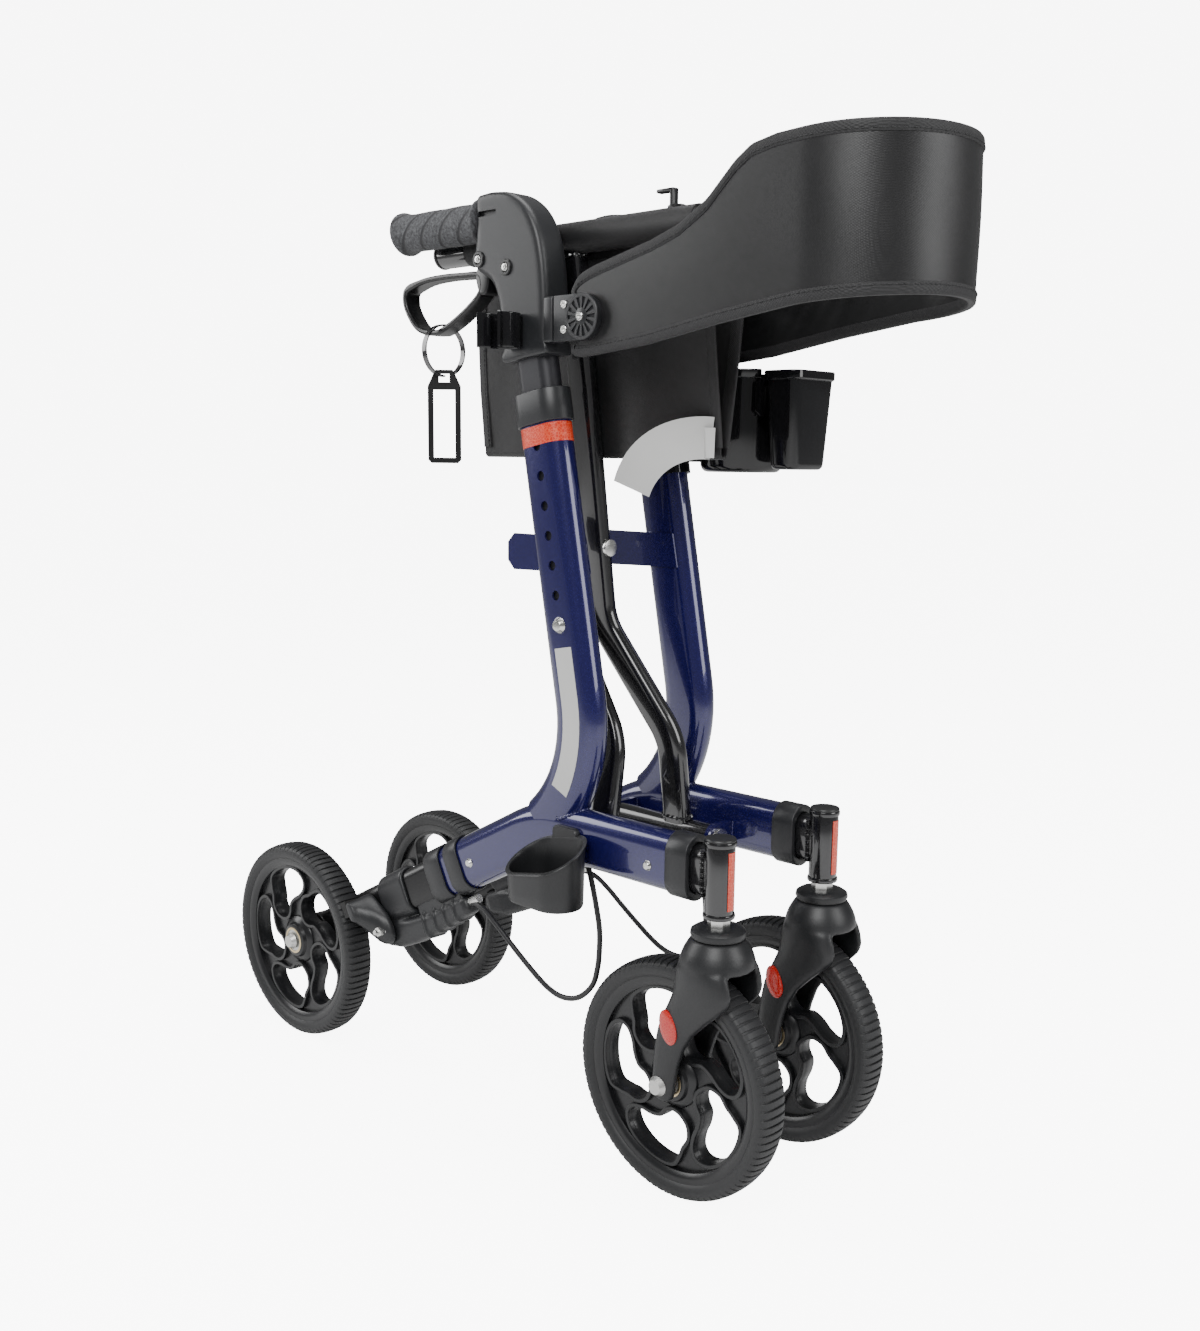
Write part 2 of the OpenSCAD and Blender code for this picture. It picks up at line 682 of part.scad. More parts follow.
// End plugs of one rail; the right rail also carries the bag hook
module rail_caps() {
    for (s = [0, 1]) {
        translate([0, s == 0 ? rail_front : rail_rear, 0]) rotate([s == 0 ? 90 : -90, 0, 0]) {
            translate([0, 0, 0.05]) cylinder(h = 4, d = rail_d + 1);
            translate([0, 0, -12]) cylinder(h = 12.1, d = rail_d - 4.2);
        }
    }
}

module right_rail_caps() {
    color("black") translate([-rail_x, 0, rail_z]) {
        rail_caps();
        translate([-3.5, -236, rail_d / 2 + 0.1]) cube([7, 14, 3]);
        translate([-3.5, -228, rail_d / 2 + 0.1]) cube([7, 4, 16]);
        translate([-3.5, -228, rail_d / 2 + 13]) cube([7, 18, 3.1]);
    }
}

module left_rail_caps() {
    color("black") translate([rail_x, 0, rail_z]) rail_caps();
}

// Folded seat cloth that hangs between the upper arms of the braces
module seat_cloth() {
    top = rail_z - 15;
    low = cross_z + 78;
    lean_in = tan(fold_angle);
    half_top = (top - cross_z) * lean_in - brace_w / 2 - 1.2;
    half_low = (low - cross_z) * lean_in - brace_w / 2 - 0.6;
    color("darkslategray") translate([0, 34, 0]) rotate([90, 0, 0]) linear_extrude(284)
        polygon([[-half_low, low], [half_low, low], [half_top, top], [-half_top, top]]);
}

// ---- back strap ----

module right_strap_bracket() {
    front = strap_pin[1] + 3.4;
    housing_front = up_axis(housing_low)[0] - 24.1;
    color("dimgray") translate([-strap_pin[0] - 3, front, strap_low + 13]) cube([16, housing_front - front, 36]);
}

module strap_side_outline(over) {
    polygon([
        [strap_end, strap_low - over], [-380, strap_low + strap_rise - over], [-strap_front - 3, strap_low + strap_rise + 7 - over],
        [-strap_front - 3, strap_low + strap_rise + strap_peak + over], [-338, strap_low + strap_rise + strap_peak - 6 + over],
        [-320, strap_low + 128], [-298, strap_low + 107 + over], [-272, strap_low + 93 + over],
        [-244, strap_low + 84 + over], [strap_end, strap_high + over]
    ]);
}

module strap_plan() {
    r = strap_x;
    bend = -strap_front + r;
    translate([-strap_x - strap_t / 2, bend]) square([strap_t, strap_end - bend]);
    intersection() {
        translate([0, bend]) difference() {
            circle(r = r + strap_t / 2, $fn = 96);
            circle(r = r - strap_t / 2, $fn = 96);
        }
        translate([-2 * r, bend - 2 * r]) square([2 * r - 0.2, 2 * r]);
    }
}

module right_back_strap() {
    color("darkslategray") intersection() {
        translate([0, 0, strap_low - 20]) linear_extrude(220) strap_plan();
        translate([-200, 0, 0]) rotate([90, 0, 90]) linear_extrude(400) strap_side_outline(0);
    }
}

// Clamp plate on the outside of the strap, with its hinge barrel and rosette
module right_strap_plate() {
    color("dimgray") difference() {
        union() {
            translate([-strap_pin[0], strap_pin[1], strap_low + 13]) cylinder(h = 36, r = 3);
            translate([-strap_pin[0] - 3, -177, strap_low + 13]) cube([5.5, 31, 36]);
            translate([-strap_pin[0] - 3, -177, strap_low + 31]) rotate([0, 90, 0]) cylinder(h = 5.5, r = 18);
        }
        translate([-strap_x - strap_t / 2 - 0.05, -400, 0]) cube([20, 400, 900]);
    }
}

// ---- accessories ----

module cup_holder() {
    box_y = cup_y - cup_d / 2 - 18;
    color("black") difference() {
        union() {
            translate([cup_x, cup_y, cup_low]) cylinder(h = cup_h, r1 = cup_d / 2 - 5, r2 = cup_d / 2);
            translate([cup_x, cup_y, cup_low + cup_h - 6]) cylinder(h = 6, r = cup_d / 2 + 2);
            translate([cup_x - 29, box_y - 18, cup_low + 3]) cube([58, 36, cup_h - 5]);
            translate([cup_x - 31, box_y - 20, cup_low + cup_h - 9]) cube([62, 38, 7]);
            // Arm and clamp ring round the upright
            to_left() on_upright() translate([0, 0, upright_len - 48]) linear_extrude(20)
                oval(tube_d + 0.6 + 2 * collar_t, tube_w + 0.6 + 2 * collar_t);
            translate([frame_x + 4, cup_y + 20, cup_low + 8]) cube([12, 40, 14]);
        }
        translate([cup_x, cup_y, cup_low + holder_wall])
            cylinder(h = cup_h, r1 = cup_d / 2 - 5 - holder_wall, r2 = cup_d / 2 - holder_wall);
        translate([cup_x - 26.5, box_y - 15.5, cup_low + 5.5]) cube([53, 26, cup_h]);
        // Slot for a mug handle
        translate([cup_x + 10, cup_y - 20, cup_low + 45]) rotate([0, 90, 0]) cylinder(h = 60, r = 10);
        translate([cup_x + 10, cup_y - 30, cup_low + 45]) cube([60, 20, 60]);
        to_left() on_upright() translate([0, 0, upright_len - 60]) linear_extrude(60)
            oval(tube_d + 0.6, tube_w + 0.6);
    }
}

// Open clip for the shaft of a walking stick, on the right handle housing
module cane_clip() {
    z = up_axis(housing_low)[1] + 4;
    color("black") translate([-frame_x - housing_w / 2 - 13.6, -98, z]) {
        linear_extrude(28) difference() {
            union() {
                circle(r = 13.5);
                translate([4, -9]) square([9.6, 18]);
            }
            circle(r = 10.5);
            translate([-30, -7]) square([24, 14]);
            translate([13.55, -20]) square([40, 40]);
        }
    }
}

// Open cup for the tip of a walking stick, on the right lower tube
module cane_cup() {
    x = -frame_x - tube_w / 2 - 26;
    y = -162;
    color("dimgray") difference() {
        union() {
            difference() {
                translate([x, y, tube_z - 57]) linear_extrude(62) oval(76, 46);
                // The rim slopes down away from the tube
                translate([x, y, tube_z - 8]) rotate([0, -28, 0]) translate([-60, -60, 0]) cube([120, 120, 60]);
            }
            translate([x + 12, y - 17, tube_z - 40]) cube([13.9, 34, 52]);
        }
        translate([x, y, tube_z - 54]) linear_extrude(80) oval(71, 41);
    }
}

// Ring round the lower arm of the right lever, with a plain open tag on it
module key_ring_tag() {
    y = lever_pin[0] + 66;
    top = grip_z - grip_d / 2 - lever_gap - 51 + lever_t;
    ring_r = 23;
    ring_t = 1.6;
    ring_z = top + 3.7 - ring_r + ring_t;
    color("silver") {
        translate([-frame_x, y, ring_z]) rotate([90, 0, 0]) linear_extrude(6, center = true) difference() {
            circle(r = ring_r);
            circle(r = ring_r - ring_t);
        }
        translate([-frame_x - 1.5, y, ring_z - ring_r]) rotate([90, 0, 90]) linear_extrude(3) difference() {
            union() {
                translate([-15, -76]) square([30, 70]);
                polygon([[-15, -7], [15, -7], [8, 7], [-8, 7]]);
            }
            translate([-11, -72]) square([22, 62]);
            translate([-5, -3]) square([10, 7]);
        }
    }
}

right_side_frame();
to_left() right_side_frame();  // left_side_frame
right_front_leg();
to_left() right_front_leg();  // left_front_leg
right_rear_leg();
to_left() right_rear_leg();  // left_rear_leg
right_collars();
to_left() right_collars();  // left_collars
right_frame_bolts();
to_left() right_frame_bolts();  // left_frame_bolts
right_brake_housing();
to_left() right_brake_housing();  // left_brake_housing
right_brake_arm();
to_left() right_brake_arm();  // left_brake_arm
right_brake_shoe();
to_left() right_brake_shoe();  // left_brake_shoe
right_brake_cable();
to_left() right_brake_cable();  // left_brake_cable
right_handle_tube();
to_left() right_handle_tube();  // left_handle_tube
right_handle_housing();
to_left() right_handle_housing();  // left_handle_housing
right_handle_screws();
to_left() right_handle_screws();  // left_handle_screws
right_grip();
to_left() right_grip();  // left_grip
right_brake_lever();
to_left() right_brake_lever();  // left_brake_lever
right_caster_fork();
to_left() right_caster_fork();  // left_caster_fork
right_caster_stem();
to_left() right_caster_stem();  // left_caster_stem
at_front_wheel() tyre();  // right_front_tyre
to_left() at_front_wheel() tyre();  // left_front_tyre
at_front_wheel() rim();  // right_front_rim
to_left() at_front_wheel() rim();  // left_front_rim
at_front_wheel() axle(-28, 26);  // right_front_axle
to_left() at_front_wheel() axle(-28, 26);  // left_front_axle
at_rear_wheel() tyre();  // right_rear_tyre
to_left() at_rear_wheel() tyre();  // left_rear_tyre
at_rear_wheel() rim();  // right_rear_rim
to_left() at_rear_wheel() rim();  // left_rear_rim
at_rear_wheel() axle(-43, 15);  // right_rear_axle
to_left() at_rear_wheel() axle(-43, 15);  // left_rear_axle
brace_a();
brace_b();
brace_cross_bolt();
right_strap_plate();
to_left() right_strap_plate();  // left_strap_plate
right_rail_caps();
left_rail_caps();
seat_cloth();
right_strap_bracket();
to_left() right_strap_bracket();  // left_strap_bracket
right_back_strap();
to_left() right_back_strap();  // left_back_strap
cup_holder();
cane_clip();
cane_cup();
key_ring_tag();
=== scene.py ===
# %% [markdown]
# # A folding walking frame on four wheels
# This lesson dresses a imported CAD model. The CAD gives every place and every joint, and the cells
# below give the surfaces: paint, moulded plastic, rubber, zinc and cloth. Each step says what the
# real piece is, how it could be made, and why it is made this way here.

# %% Load the frame
import json
import math
import bmesh
import bpy
import numpy as np
from mathutils import Matrix, Vector


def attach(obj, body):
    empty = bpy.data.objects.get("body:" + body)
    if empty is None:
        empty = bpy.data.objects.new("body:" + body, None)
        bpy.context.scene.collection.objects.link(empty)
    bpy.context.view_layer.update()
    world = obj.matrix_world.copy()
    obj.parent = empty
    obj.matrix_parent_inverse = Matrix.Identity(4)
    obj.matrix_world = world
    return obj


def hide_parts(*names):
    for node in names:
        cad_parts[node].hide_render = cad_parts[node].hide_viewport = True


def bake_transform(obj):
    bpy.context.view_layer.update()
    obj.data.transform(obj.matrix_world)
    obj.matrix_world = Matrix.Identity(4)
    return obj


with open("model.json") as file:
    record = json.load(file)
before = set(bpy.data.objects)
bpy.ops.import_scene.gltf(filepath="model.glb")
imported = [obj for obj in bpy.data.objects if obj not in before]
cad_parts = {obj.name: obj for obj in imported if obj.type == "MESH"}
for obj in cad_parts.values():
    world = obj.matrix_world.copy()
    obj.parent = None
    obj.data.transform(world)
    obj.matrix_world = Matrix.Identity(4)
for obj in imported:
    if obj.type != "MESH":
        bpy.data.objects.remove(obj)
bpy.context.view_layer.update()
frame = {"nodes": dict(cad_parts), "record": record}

nodes = frame["nodes"]
record = frame["record"]

# %% [markdown]
# ## Camera and light
# The frame stands in a white studio and is seen from its right front corner, at about the height of
# the seat. The camera is built from its three directions, because that keeps a small roll exact.

# %% Camera
def aim_camera(place, yaw, pitch, roll, lens, shift):
    cam = bpy.data.objects.new("camera", bpy.data.cameras.new("camera"))
    bpy.context.collection.objects.link(cam)
    y, p, r = (math.radians(a) for a in (yaw, pitch, roll))
    ahead = Vector((math.sin(y) * math.cos(p), math.cos(y) * math.cos(p), -math.sin(p)))
    right = Vector((math.cos(y), -math.sin(y), 0))
    up = right.cross(ahead)
    right2 = right * math.cos(r) + up * math.sin(r)
    up2 = up * math.cos(r) - right * math.sin(r)
    turn = Matrix((right2, up2, -ahead)).transposed().to_4x4()
    cam.matrix_world = Matrix.Translation(place) @ turn
    cam.data.sensor_width = 36
    cam.data.lens = lens
    cam.data.shift_x, cam.data.shift_y = shift
    cam.data.clip_end = 50
    bpy.context.scene.camera = cam
    return cam


camera = aim_camera((-0.888, -0.9772, 0.6025), 46.60, 9.99, 0.71, 37.51, (-0.012322, 0.028249))
print("camera lens", round(camera.data.lens, 2))

# %% Studio light
def area_light(name, place, target, size, power, colour=(1, 1, 1)):
    lamp = bpy.data.objects.new(name, bpy.data.lights.new(name, "AREA"))
    bpy.context.collection.objects.link(lamp)
    lamp.data.shape = "RECTANGLE"
    lamp.data.size, lamp.data.size_y = size
    lamp.data.energy = power
    lamp.data.color = colour
    lamp.location = place
    lamp.rotation_euler = (Vector(target) - Vector(place)).to_track_quat("-Z", "Y").to_euler()
    return lamp


area_light("key_box", (-1.9, -1.1, 2.1), (0, -0.05, 0.45), (1.4, 1.4), 58)
area_light("front_box", (0.6, -2.4, 1.5), (0, -0.1, 0.45), (1.2, 1.6), 34)
area_light("rear_box", (-1.2, 1.9, 1.5), (0, 0, 0.5), (1.0, 1.8), 34)
area_light("top_box", (0.2, 0.0, 2.6), (0, 0, 0.4), (1.8, 1.2), 34)
world = bpy.data.worlds.new("studio")
bpy.context.scene.world = world
world.use_nodes = True
sky = world.node_tree
seen, rest_of_light = sky.nodes["Background"], sky.nodes.new("ShaderNodeBackground")
seen.inputs[1].default_value, rest_of_light.inputs[1].default_value = 8.0, 0.18
for shader in (seen, rest_of_light):
    shader.inputs[0].default_value = (1, 1, 1, 1)
ray, pick = sky.nodes.new("ShaderNodeLightPath"), sky.nodes.new("ShaderNodeMixShader")
sky.links.new(ray.outputs["Is Camera Ray"], pick.inputs[0])
sky.links.new(rest_of_light.outputs[0], pick.inputs[1])
sky.links.new(seen.outputs[0], pick.inputs[2])
sky.links.new(pick.outputs[0], sky.nodes["World Output"].inputs[0])

# %% [markdown]
# ## Shader groups
# Moulded plastic, paint and cloth share a few effects: a fine grain, a slow variation in shine and a
# weave. Each effect is one node group, built once, and every material sets its own values on it.

# %% Node helpers
def socket_of(group, name, kind, out=False, value=None):
    s = group.interface.new_socket(name=name, in_out="OUTPUT" if out else "INPUT", socket_type=kind)
    if value is not None:
        s.default_value = value
    return s


def node(tree, kind, links=(), **values):
    n = tree.nodes.new(kind)
    for key, value in values.items():
        if hasattr(n, key):
            setattr(n, key, value)
    for name, value in links:
        target = n.inputs[name]
        if isinstance(value, bpy.types.NodeSocket):
            tree.links.new(value, target)
        else:
            target.default_value = value
    return n


def start_group(name, ins):
    g = bpy.data.node_groups.new(name, "ShaderNodeTree")
    socket_of(g, "Vector", "NodeSocketVector")
    for key, value in ins.items():
        socket_of(g, key, "NodeSocketFloat", value=value)
    return g, g.nodes.new("NodeGroupInput"), g.nodes.new("NodeGroupOutput")


# %% Grain of moulded plastic and rubber
def build_grain():
    g, gin, gout = start_group("moulded_grain", {"Grain size": 900.0, "Shine": 0.4, "Shine spread": 0.08})
    socket_of(g, "Height", "NodeSocketFloat", out=True)
    socket_of(g, "Roughness", "NodeSocketFloat", out=True)
    socket_of(g, "Handling", "NodeSocketFloat", out=True)
    fine = node(g, "ShaderNodeTexNoise",
                [("Vector", gin.outputs["Vector"]), ("Scale", gin.outputs["Grain size"]),
                                          ("Detail", 2.0), ("Roughness", 0.6)])
    slow = node(g, "ShaderNodeTexNoise",
                [("Vector", gin.outputs["Vector"]), ("Scale", 14.0), ("Detail", 4.0)])
    centred = node(g, "ShaderNodeMath", [(0, slow.outputs["Fac"]), (1, 0.5)], operation="SUBTRACT")
    spread = node(g, "ShaderNodeMath", [(0, centred.outputs[0]), (1, gin.outputs["Shine spread"]),
                                        (2, gin.outputs["Shine"])], operation="MULTIPLY_ADD")
    g.links.new(fine.outputs["Fac"], gout.inputs["Height"])
    g.links.new(spread.outputs[0], gout.inputs["Roughness"])
    g.links.new(slow.outputs["Fac"], gout.inputs["Handling"])
    return g


# %% Flakes in metallic paint
def build_flakes():
    g, gin, gout = start_group("paint_flakes", {"Flake size": 1500.0, "Amount": 0.25})
    socket_of(g, "Flakes", "NodeSocketFloat", out=True)
    socket_of(g, "Height", "NodeSocketFloat", out=True)
    cells = node(g, "ShaderNodeTexVoronoi",
                 [("Vector", gin.outputs["Vector"]), ("Scale", gin.outputs["Flake size"])])
    bright = node(g, "ShaderNodeSeparateColor", [("Color", cells.outputs["Color"])])
    power = node(g, "ShaderNodeMath", [(0, bright.outputs[0]), (1, 7.0)], operation="POWER")
    scaled = node(g, "ShaderNodeMath", [(0, power.outputs[0]), (1, gin.outputs["Amount"])],
                  operation="MULTIPLY")
    peel = node(g, "ShaderNodeTexNoise",
                [("Vector", gin.outputs["Vector"]), ("Scale", 220.0), ("Detail", 1.0)])
    g.links.new(scaled.outputs[0], gout.inputs["Flakes"])
    g.links.new(peel.outputs["Fac"], gout.inputs["Height"])
    return g


# %% Weave of cloth
def build_weave():
    g, gin, gout = start_group("cloth_weave", {"Threads per metre": 1600.0, "Slack": 0.3})
    socket_of(g, "Height", "NodeSocketFloat", out=True)
    socket_of(g, "Thread", "NodeSocketFloat", out=True)
    part = node(g, "ShaderNodeSeparateXYZ", [("Vector", gin.outputs["Vector"])])
    across = node(g, "ShaderNodeMath", [(0, part.outputs["X"]), (1, part.outputs["Y"])], operation="ADD")
    waves = []
    for source in (across.outputs[0], part.outputs["Z"]):
        turn = node(g, "ShaderNodeMath", [(0, source), (1, gin.outputs["Threads per metre"])],
                    operation="MULTIPLY")
        turn2 = node(g, "ShaderNodeMath", [(0, turn.outputs[0]), (1, 3.14159)], operation="MULTIPLY")
        waves.append(node(g, "ShaderNodeMath", [(0, turn2.outputs[0])], operation="SINE"))
    both = node(g, "ShaderNodeMath", [(0, waves[0].outputs[0]), (1, waves[1].outputs[0])],
                operation="MULTIPLY")
    slack = node(g, "ShaderNodeTexNoise",
                 [("Vector", gin.outputs["Vector"]), ("Scale", 60.0), ("Detail", 3.0)])
    mix = node(g, "ShaderNodeMath",
               [(0, slack.outputs["Fac"]), (1, gin.outputs["Slack"]), (2, both.outputs[0])],
               operation="MULTIPLY_ADD")
    half = node(g, "ShaderNodeMath", [(0, both.outputs[0]), (1, 0.5), (2, 0.5)], operation="MULTIPLY_ADD")
    g.links.new(mix.outputs[0], gout.inputs["Height"])
    g.links.new(half.outputs[0], gout.inputs["Thread"])
    return g


grain_group, flake_group, weave_group = build_grain(), build_flakes(), build_weave()
print("shader groups", [g.name for g in bpy.data.node_groups])

# %% [markdown]
# ## Materials
# Paint is a metal under a clear coat, moulded parts are dark satin plastic with a fine grain, and the
# cloth is woven nylon. Constant values stand on the shader; only what varies comes through a group.

# %% Material helpers
def start_material(name, **constants):
    m = bpy.data.materials.new(name)
    m.use_nodes = True
    t = m.node_tree
    bsdf = t.nodes["Principled BSDF"]
    for key, value in constants.items():
        bsdf.inputs[key.replace("_", " ")].default_value = value
    coords = t.nodes.new("ShaderNodeTexCoord")
    return m, t, bsdf, coords.outputs["Object"]


def use_group(t, group, vector, **values):
    n = t.nodes.new("ShaderNodeGroup")
    n.node_tree = group
    t.links.new(vector, n.inputs["Vector"])
    for key, value in values.items():
        n.inputs[key.replace("_", " ")].default_value = value
    return n


def add_bump(t, bsdf, height, strength, distance):
    bump = node(t, "ShaderNodeBump", [("Height", height), ("Strength", strength), ("Distance", distance)])
    t.links.new(bump.outputs["Normal"], bsdf.inputs["Normal"])


def tint(t, mask, low, high):
    mix = t.nodes.new("ShaderNodeMix")
    mix.data_type = "RGBA"
    t.links.new(mask, mix.inputs[0])
    mix.inputs[6].default_value = (*low, 1)
    mix.inputs[7].default_value = (*high, 1)
    return mix.outputs[2]


def plastic(name, low, high, shine, grain=900.0, bump=0.15, depth=0.0002, coat=0.0):
    m, t, bsdf, at = start_material(name, Coat_Weight=coat, Coat_Roughness=0.12)
    g = use_group(t, grain_group, at, Grain_size=grain, Shine=shine, Shine_spread=0.12)
    t.links.new(tint(t, g.outputs["Handling"], low, high), bsdf.inputs["Base Color"])
    t.links.new(g.outputs["Roughness"], bsdf.inputs["Roughness"])
    add_bump(t, bsdf, g.outputs["Height"], bump, depth)
    return m


def metal(name, low, high, shine, grain=400.0, bump=0.08):
    m, t, bsdf, at = start_material(name, Metallic=1.0)
    g = use_group(t, grain_group, at, Grain_size=grain, Shine=shine, Shine_spread=0.15)
    t.links.new(tint(t, g.outputs["Handling"], low, high), bsdf.inputs["Base Color"])
    t.links.new(g.outputs["Roughness"], bsdf.inputs["Roughness"])
    add_bump(t, bsdf, g.outputs["Height"], bump, 0.0001)
    return m


# %% Paints
def metallic_paint(name, low, high, shine, flakes, metallic):
    m, t, bsdf, at = start_material(name, Metallic=metallic, Roughness=shine, Coat_Weight=1.0,
                                    Coat_Roughness=0.04)
    f = use_group(t, flake_group, at, Flake_size=1500.0, Amount=flakes)
    t.links.new(tint(t, f.outputs["Flakes"], low, high), bsdf.inputs["Base Color"])
    add_bump(t, bsdf, f.outputs["Height"], 0.05, 0.0003)
    return m


blue_paint = metallic_paint("blue_metallic_paint", (0.0075, 0.006, 0.075), (0.035, 0.035, 0.20), 0.22, 0.4,
                            0.3)
black_paint = metallic_paint("black_gloss_paint", (0.006, 0.006, 0.007), (0.03, 0.03, 0.035), 0.22, 0.3, 0.0)
print("paints made")

# %% Plastics, rubber and metals
grey_plastic = plastic("satin_grey_plastic", (0.011, 0.0115, 0.013), (0.018, 0.019, 0.021), 0.40)
fork_plastic = plastic("fork_plastic", (0.009, 0.0095, 0.0105), (0.014, 0.0145, 0.016), 0.40, bump=0.2)
black_plastic = plastic("satin_black_plastic", (0.006, 0.006, 0.0065), (0.010, 0.010, 0.011), 0.30)
gloss_plastic = plastic("gloss_black_plastic", (0.005, 0.005, 0.006), (0.008, 0.008, 0.009), 0.09, bump=0.03)
wheel_plastic = plastic("wheel_plastic", (0.008, 0.0082, 0.009), (0.013, 0.0135, 0.015), 0.30)
tyre_rubber = plastic("tyre_rubber", (0.012, 0.0125, 0.0135), (0.019, 0.0195, 0.021), 0.50, grain=700.0,
                      bump=0.3)
cable_rubber = plastic("cable_sheath", (0.012, 0.012, 0.013), (0.018, 0.018, 0.02), 0.4)
zinc = metal("zinc_plate", (0.62, 0.62, 0.60), (0.78, 0.78, 0.76), 0.24)
brass = metal("bearing_brass", (0.62, 0.50, 0.30), (0.75, 0.63, 0.42), 0.3)
bare_steel = metal("bare_steel", (0.5, 0.5, 0.5), (0.66, 0.66, 0.66), 0.32)
label_white = plastic("blank_label", (0.50, 0.50, 0.49), (0.60, 0.60, 0.59), 0.38, grain=300.0, bump=0.05)
print("materials", len(bpy.data.materials))

# %% Grip wrap, cloth and reflectors
def grip_wrap():
    m, t, bsdf, at = start_material("grip_wrap")
    g = use_group(t, grain_group, at, Grain_size=520.0, Shine=0.68, Shine_spread=0.2)
    fleck = node(t, "ShaderNodeTexNoise",
                 [("Vector", at), ("Scale", 420.0), ("Detail", 4.0), ("Roughness", 0.75)])
    ramp = node(t, "ShaderNodeMapRange",
                [("Value", fleck.outputs["Fac"]), ("From Min", 0.36), ("From Max", 0.66)])
    part = node(t, "ShaderNodeSeparateXYZ", [("Vector", at)])
    slant = node(t, "ShaderNodeMath", [(0, part.outputs["Z"]), (1, 0.8), (2, part.outputs["Y"])],
                 operation="MULTIPLY_ADD")
    turn = node(t, "ShaderNodeMath", [(0, slant.outputs[0]), (1, 250.0)], operation="MULTIPLY")
    seam = node(t, "ShaderNodeMath", [(0, turn.outputs[0])], operation="SINE")
    thin = node(t, "ShaderNodeMapRange", [("Value", seam.outputs[0]), ("From Min", 0.80), ("From Max", 1.0),
                                          ("To Min", 1.0), ("To Max", 0.0)])
    dark = node(t, "ShaderNodeMath", [(0, ramp.outputs[0]), (1, thin.outputs[0])], operation="MULTIPLY")
    t.links.new(tint(t, dark.outputs[0], (0.016, 0.016, 0.018), (0.105, 0.108, 0.115)),
                bsdf.inputs["Base Color"])
    t.links.new(g.outputs["Roughness"], bsdf.inputs["Roughness"])
    height = node(t, "ShaderNodeMath", [(0, thin.outputs[0]), (1, 2.0), (2, fleck.outputs["Fac"])],
                  operation="MULTIPLY_ADD")
    add_bump(t, bsdf, height.outputs[0], 0.6, 0.0005)
    return m


def cloth(name, low, high, threads, shine, bump=0.35, sheen=0.05):
    m, t, bsdf, at = start_material(name, Sheen_Weight=sheen, Sheen_Roughness=0.4)
    w = use_group(t, weave_group, at, Threads_per_metre=threads, Slack=0.5)
    g = use_group(t, grain_group, at, Grain_size=300.0, Shine=shine, Shine_spread=0.15)
    t.links.new(tint(t, w.outputs["Thread"], low, high), bsdf.inputs["Base Color"])
    t.links.new(g.outputs["Roughness"], bsdf.inputs["Roughness"])
    add_bump(t, bsdf, w.outputs["Height"], bump, 0.00025)
    return m


def reflective(name, low, high):
    m, t, bsdf, at = start_material(name, Roughness=0.25, Coat_Weight=0.6, Coat_Roughness=0.05)
    cells = node(t, "ShaderNodeTexVoronoi", [("Vector", at), ("Scale", 420.0)], feature="DISTANCE_TO_EDGE")
    wall = node(t, "ShaderNodeMapRange",
                [("Value", cells.outputs["Distance"]), ("From Min", 0.04), ("From Max", 0.12)])
    t.links.new(tint(t, wall.outputs[0], low, high), bsdf.inputs["Base Color"])
    add_bump(t, bsdf, wall.outputs[0], 0.3, 0.0002)
    return m


grip_cover = grip_wrap()
seat_nylon = cloth("seat_nylon", (0.005, 0.005, 0.0055), (0.011, 0.011, 0.012), 1300.0, 0.50)
strap_fabric = cloth("strap_fabric", (0.0055, 0.0055, 0.006), (0.010, 0.010, 0.011), 2000.0, 0.40, bump=0.15)
lining = cloth("strap_lining", (0.005, 0.005, 0.0055), (0.009, 0.009, 0.0095), 2400.0, 0.45, bump=0.12)
binding = cloth("binding_tape", (0.006, 0.006, 0.007), (0.018, 0.018, 0.019), 900.0, 0.6, bump=0.6)
thread = plastic("stitch_thread", (0.014, 0.014, 0.015), (0.024, 0.024, 0.026), 0.6)
red_reflective = reflective("red_reflective", (0.75, 0.11, 0.05), (0.60, 0.028, 0.006))
red_lens = reflective("red_lens", (0.55, 0.04, 0.02), (0.50, 0.006, 0.006))
print("cloth and reflector materials made")

# %% [markdown]
# ## Making and finishing a piece
# Three ways cover nearly everything: a section swept along a path for tubes, a profile turned about
# an axis for wheels and grips, and a copy of a CAD solid whose sharp edges are rounded.

# %% Mesh helpers
def shade(mesh, angle=35):
    mesh.polygons.foreach_set("use_smooth", [True] * len(mesh.polygons))
    mesh.set_sharp_from_angle(angle=math.radians(angle))


def piece(name, points, faces, material, angle=35, materials=()):
    mesh = bpy.data.meshes.new(name)
    mesh.from_pydata([tuple(map(float, p)) for p in points], [], [tuple(map(int, f)) for f in faces])
    mesh.validate()
    mesh.materials.append(material)
    for extra in materials:
        mesh.materials.append(extra)
    bm = bmesh.new()
    bm.from_mesh(mesh)
    bmesh.ops.recalc_face_normals(bm, faces=bm.faces)
    bm.to_mesh(mesh)
    bm.free()
    shade(mesh, angle)
    ob = bpy.data.objects.new(name, mesh)
    bpy.context.collection.objects.link(ob)
    return ob


def settle(ob, angle=35):
    """Applies the modifiers of a finished piece."""
    graph = bpy.context.evaluated_depsgraph_get()
    mesh = bpy.data.meshes.new_from_object(ob.evaluated_get(graph))
    ob.modifiers.clear()
    old = ob.data
    ob.data = mesh
    shade(mesh, angle)
    if old.users == 0 and hasattr(old, "polygons"):
        bpy.data.meshes.remove(old)
    return ob


def fit(ob, body, slot, *replaced):
    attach(ob, body)
    if replaced:
        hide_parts(*replaced)
    return ob


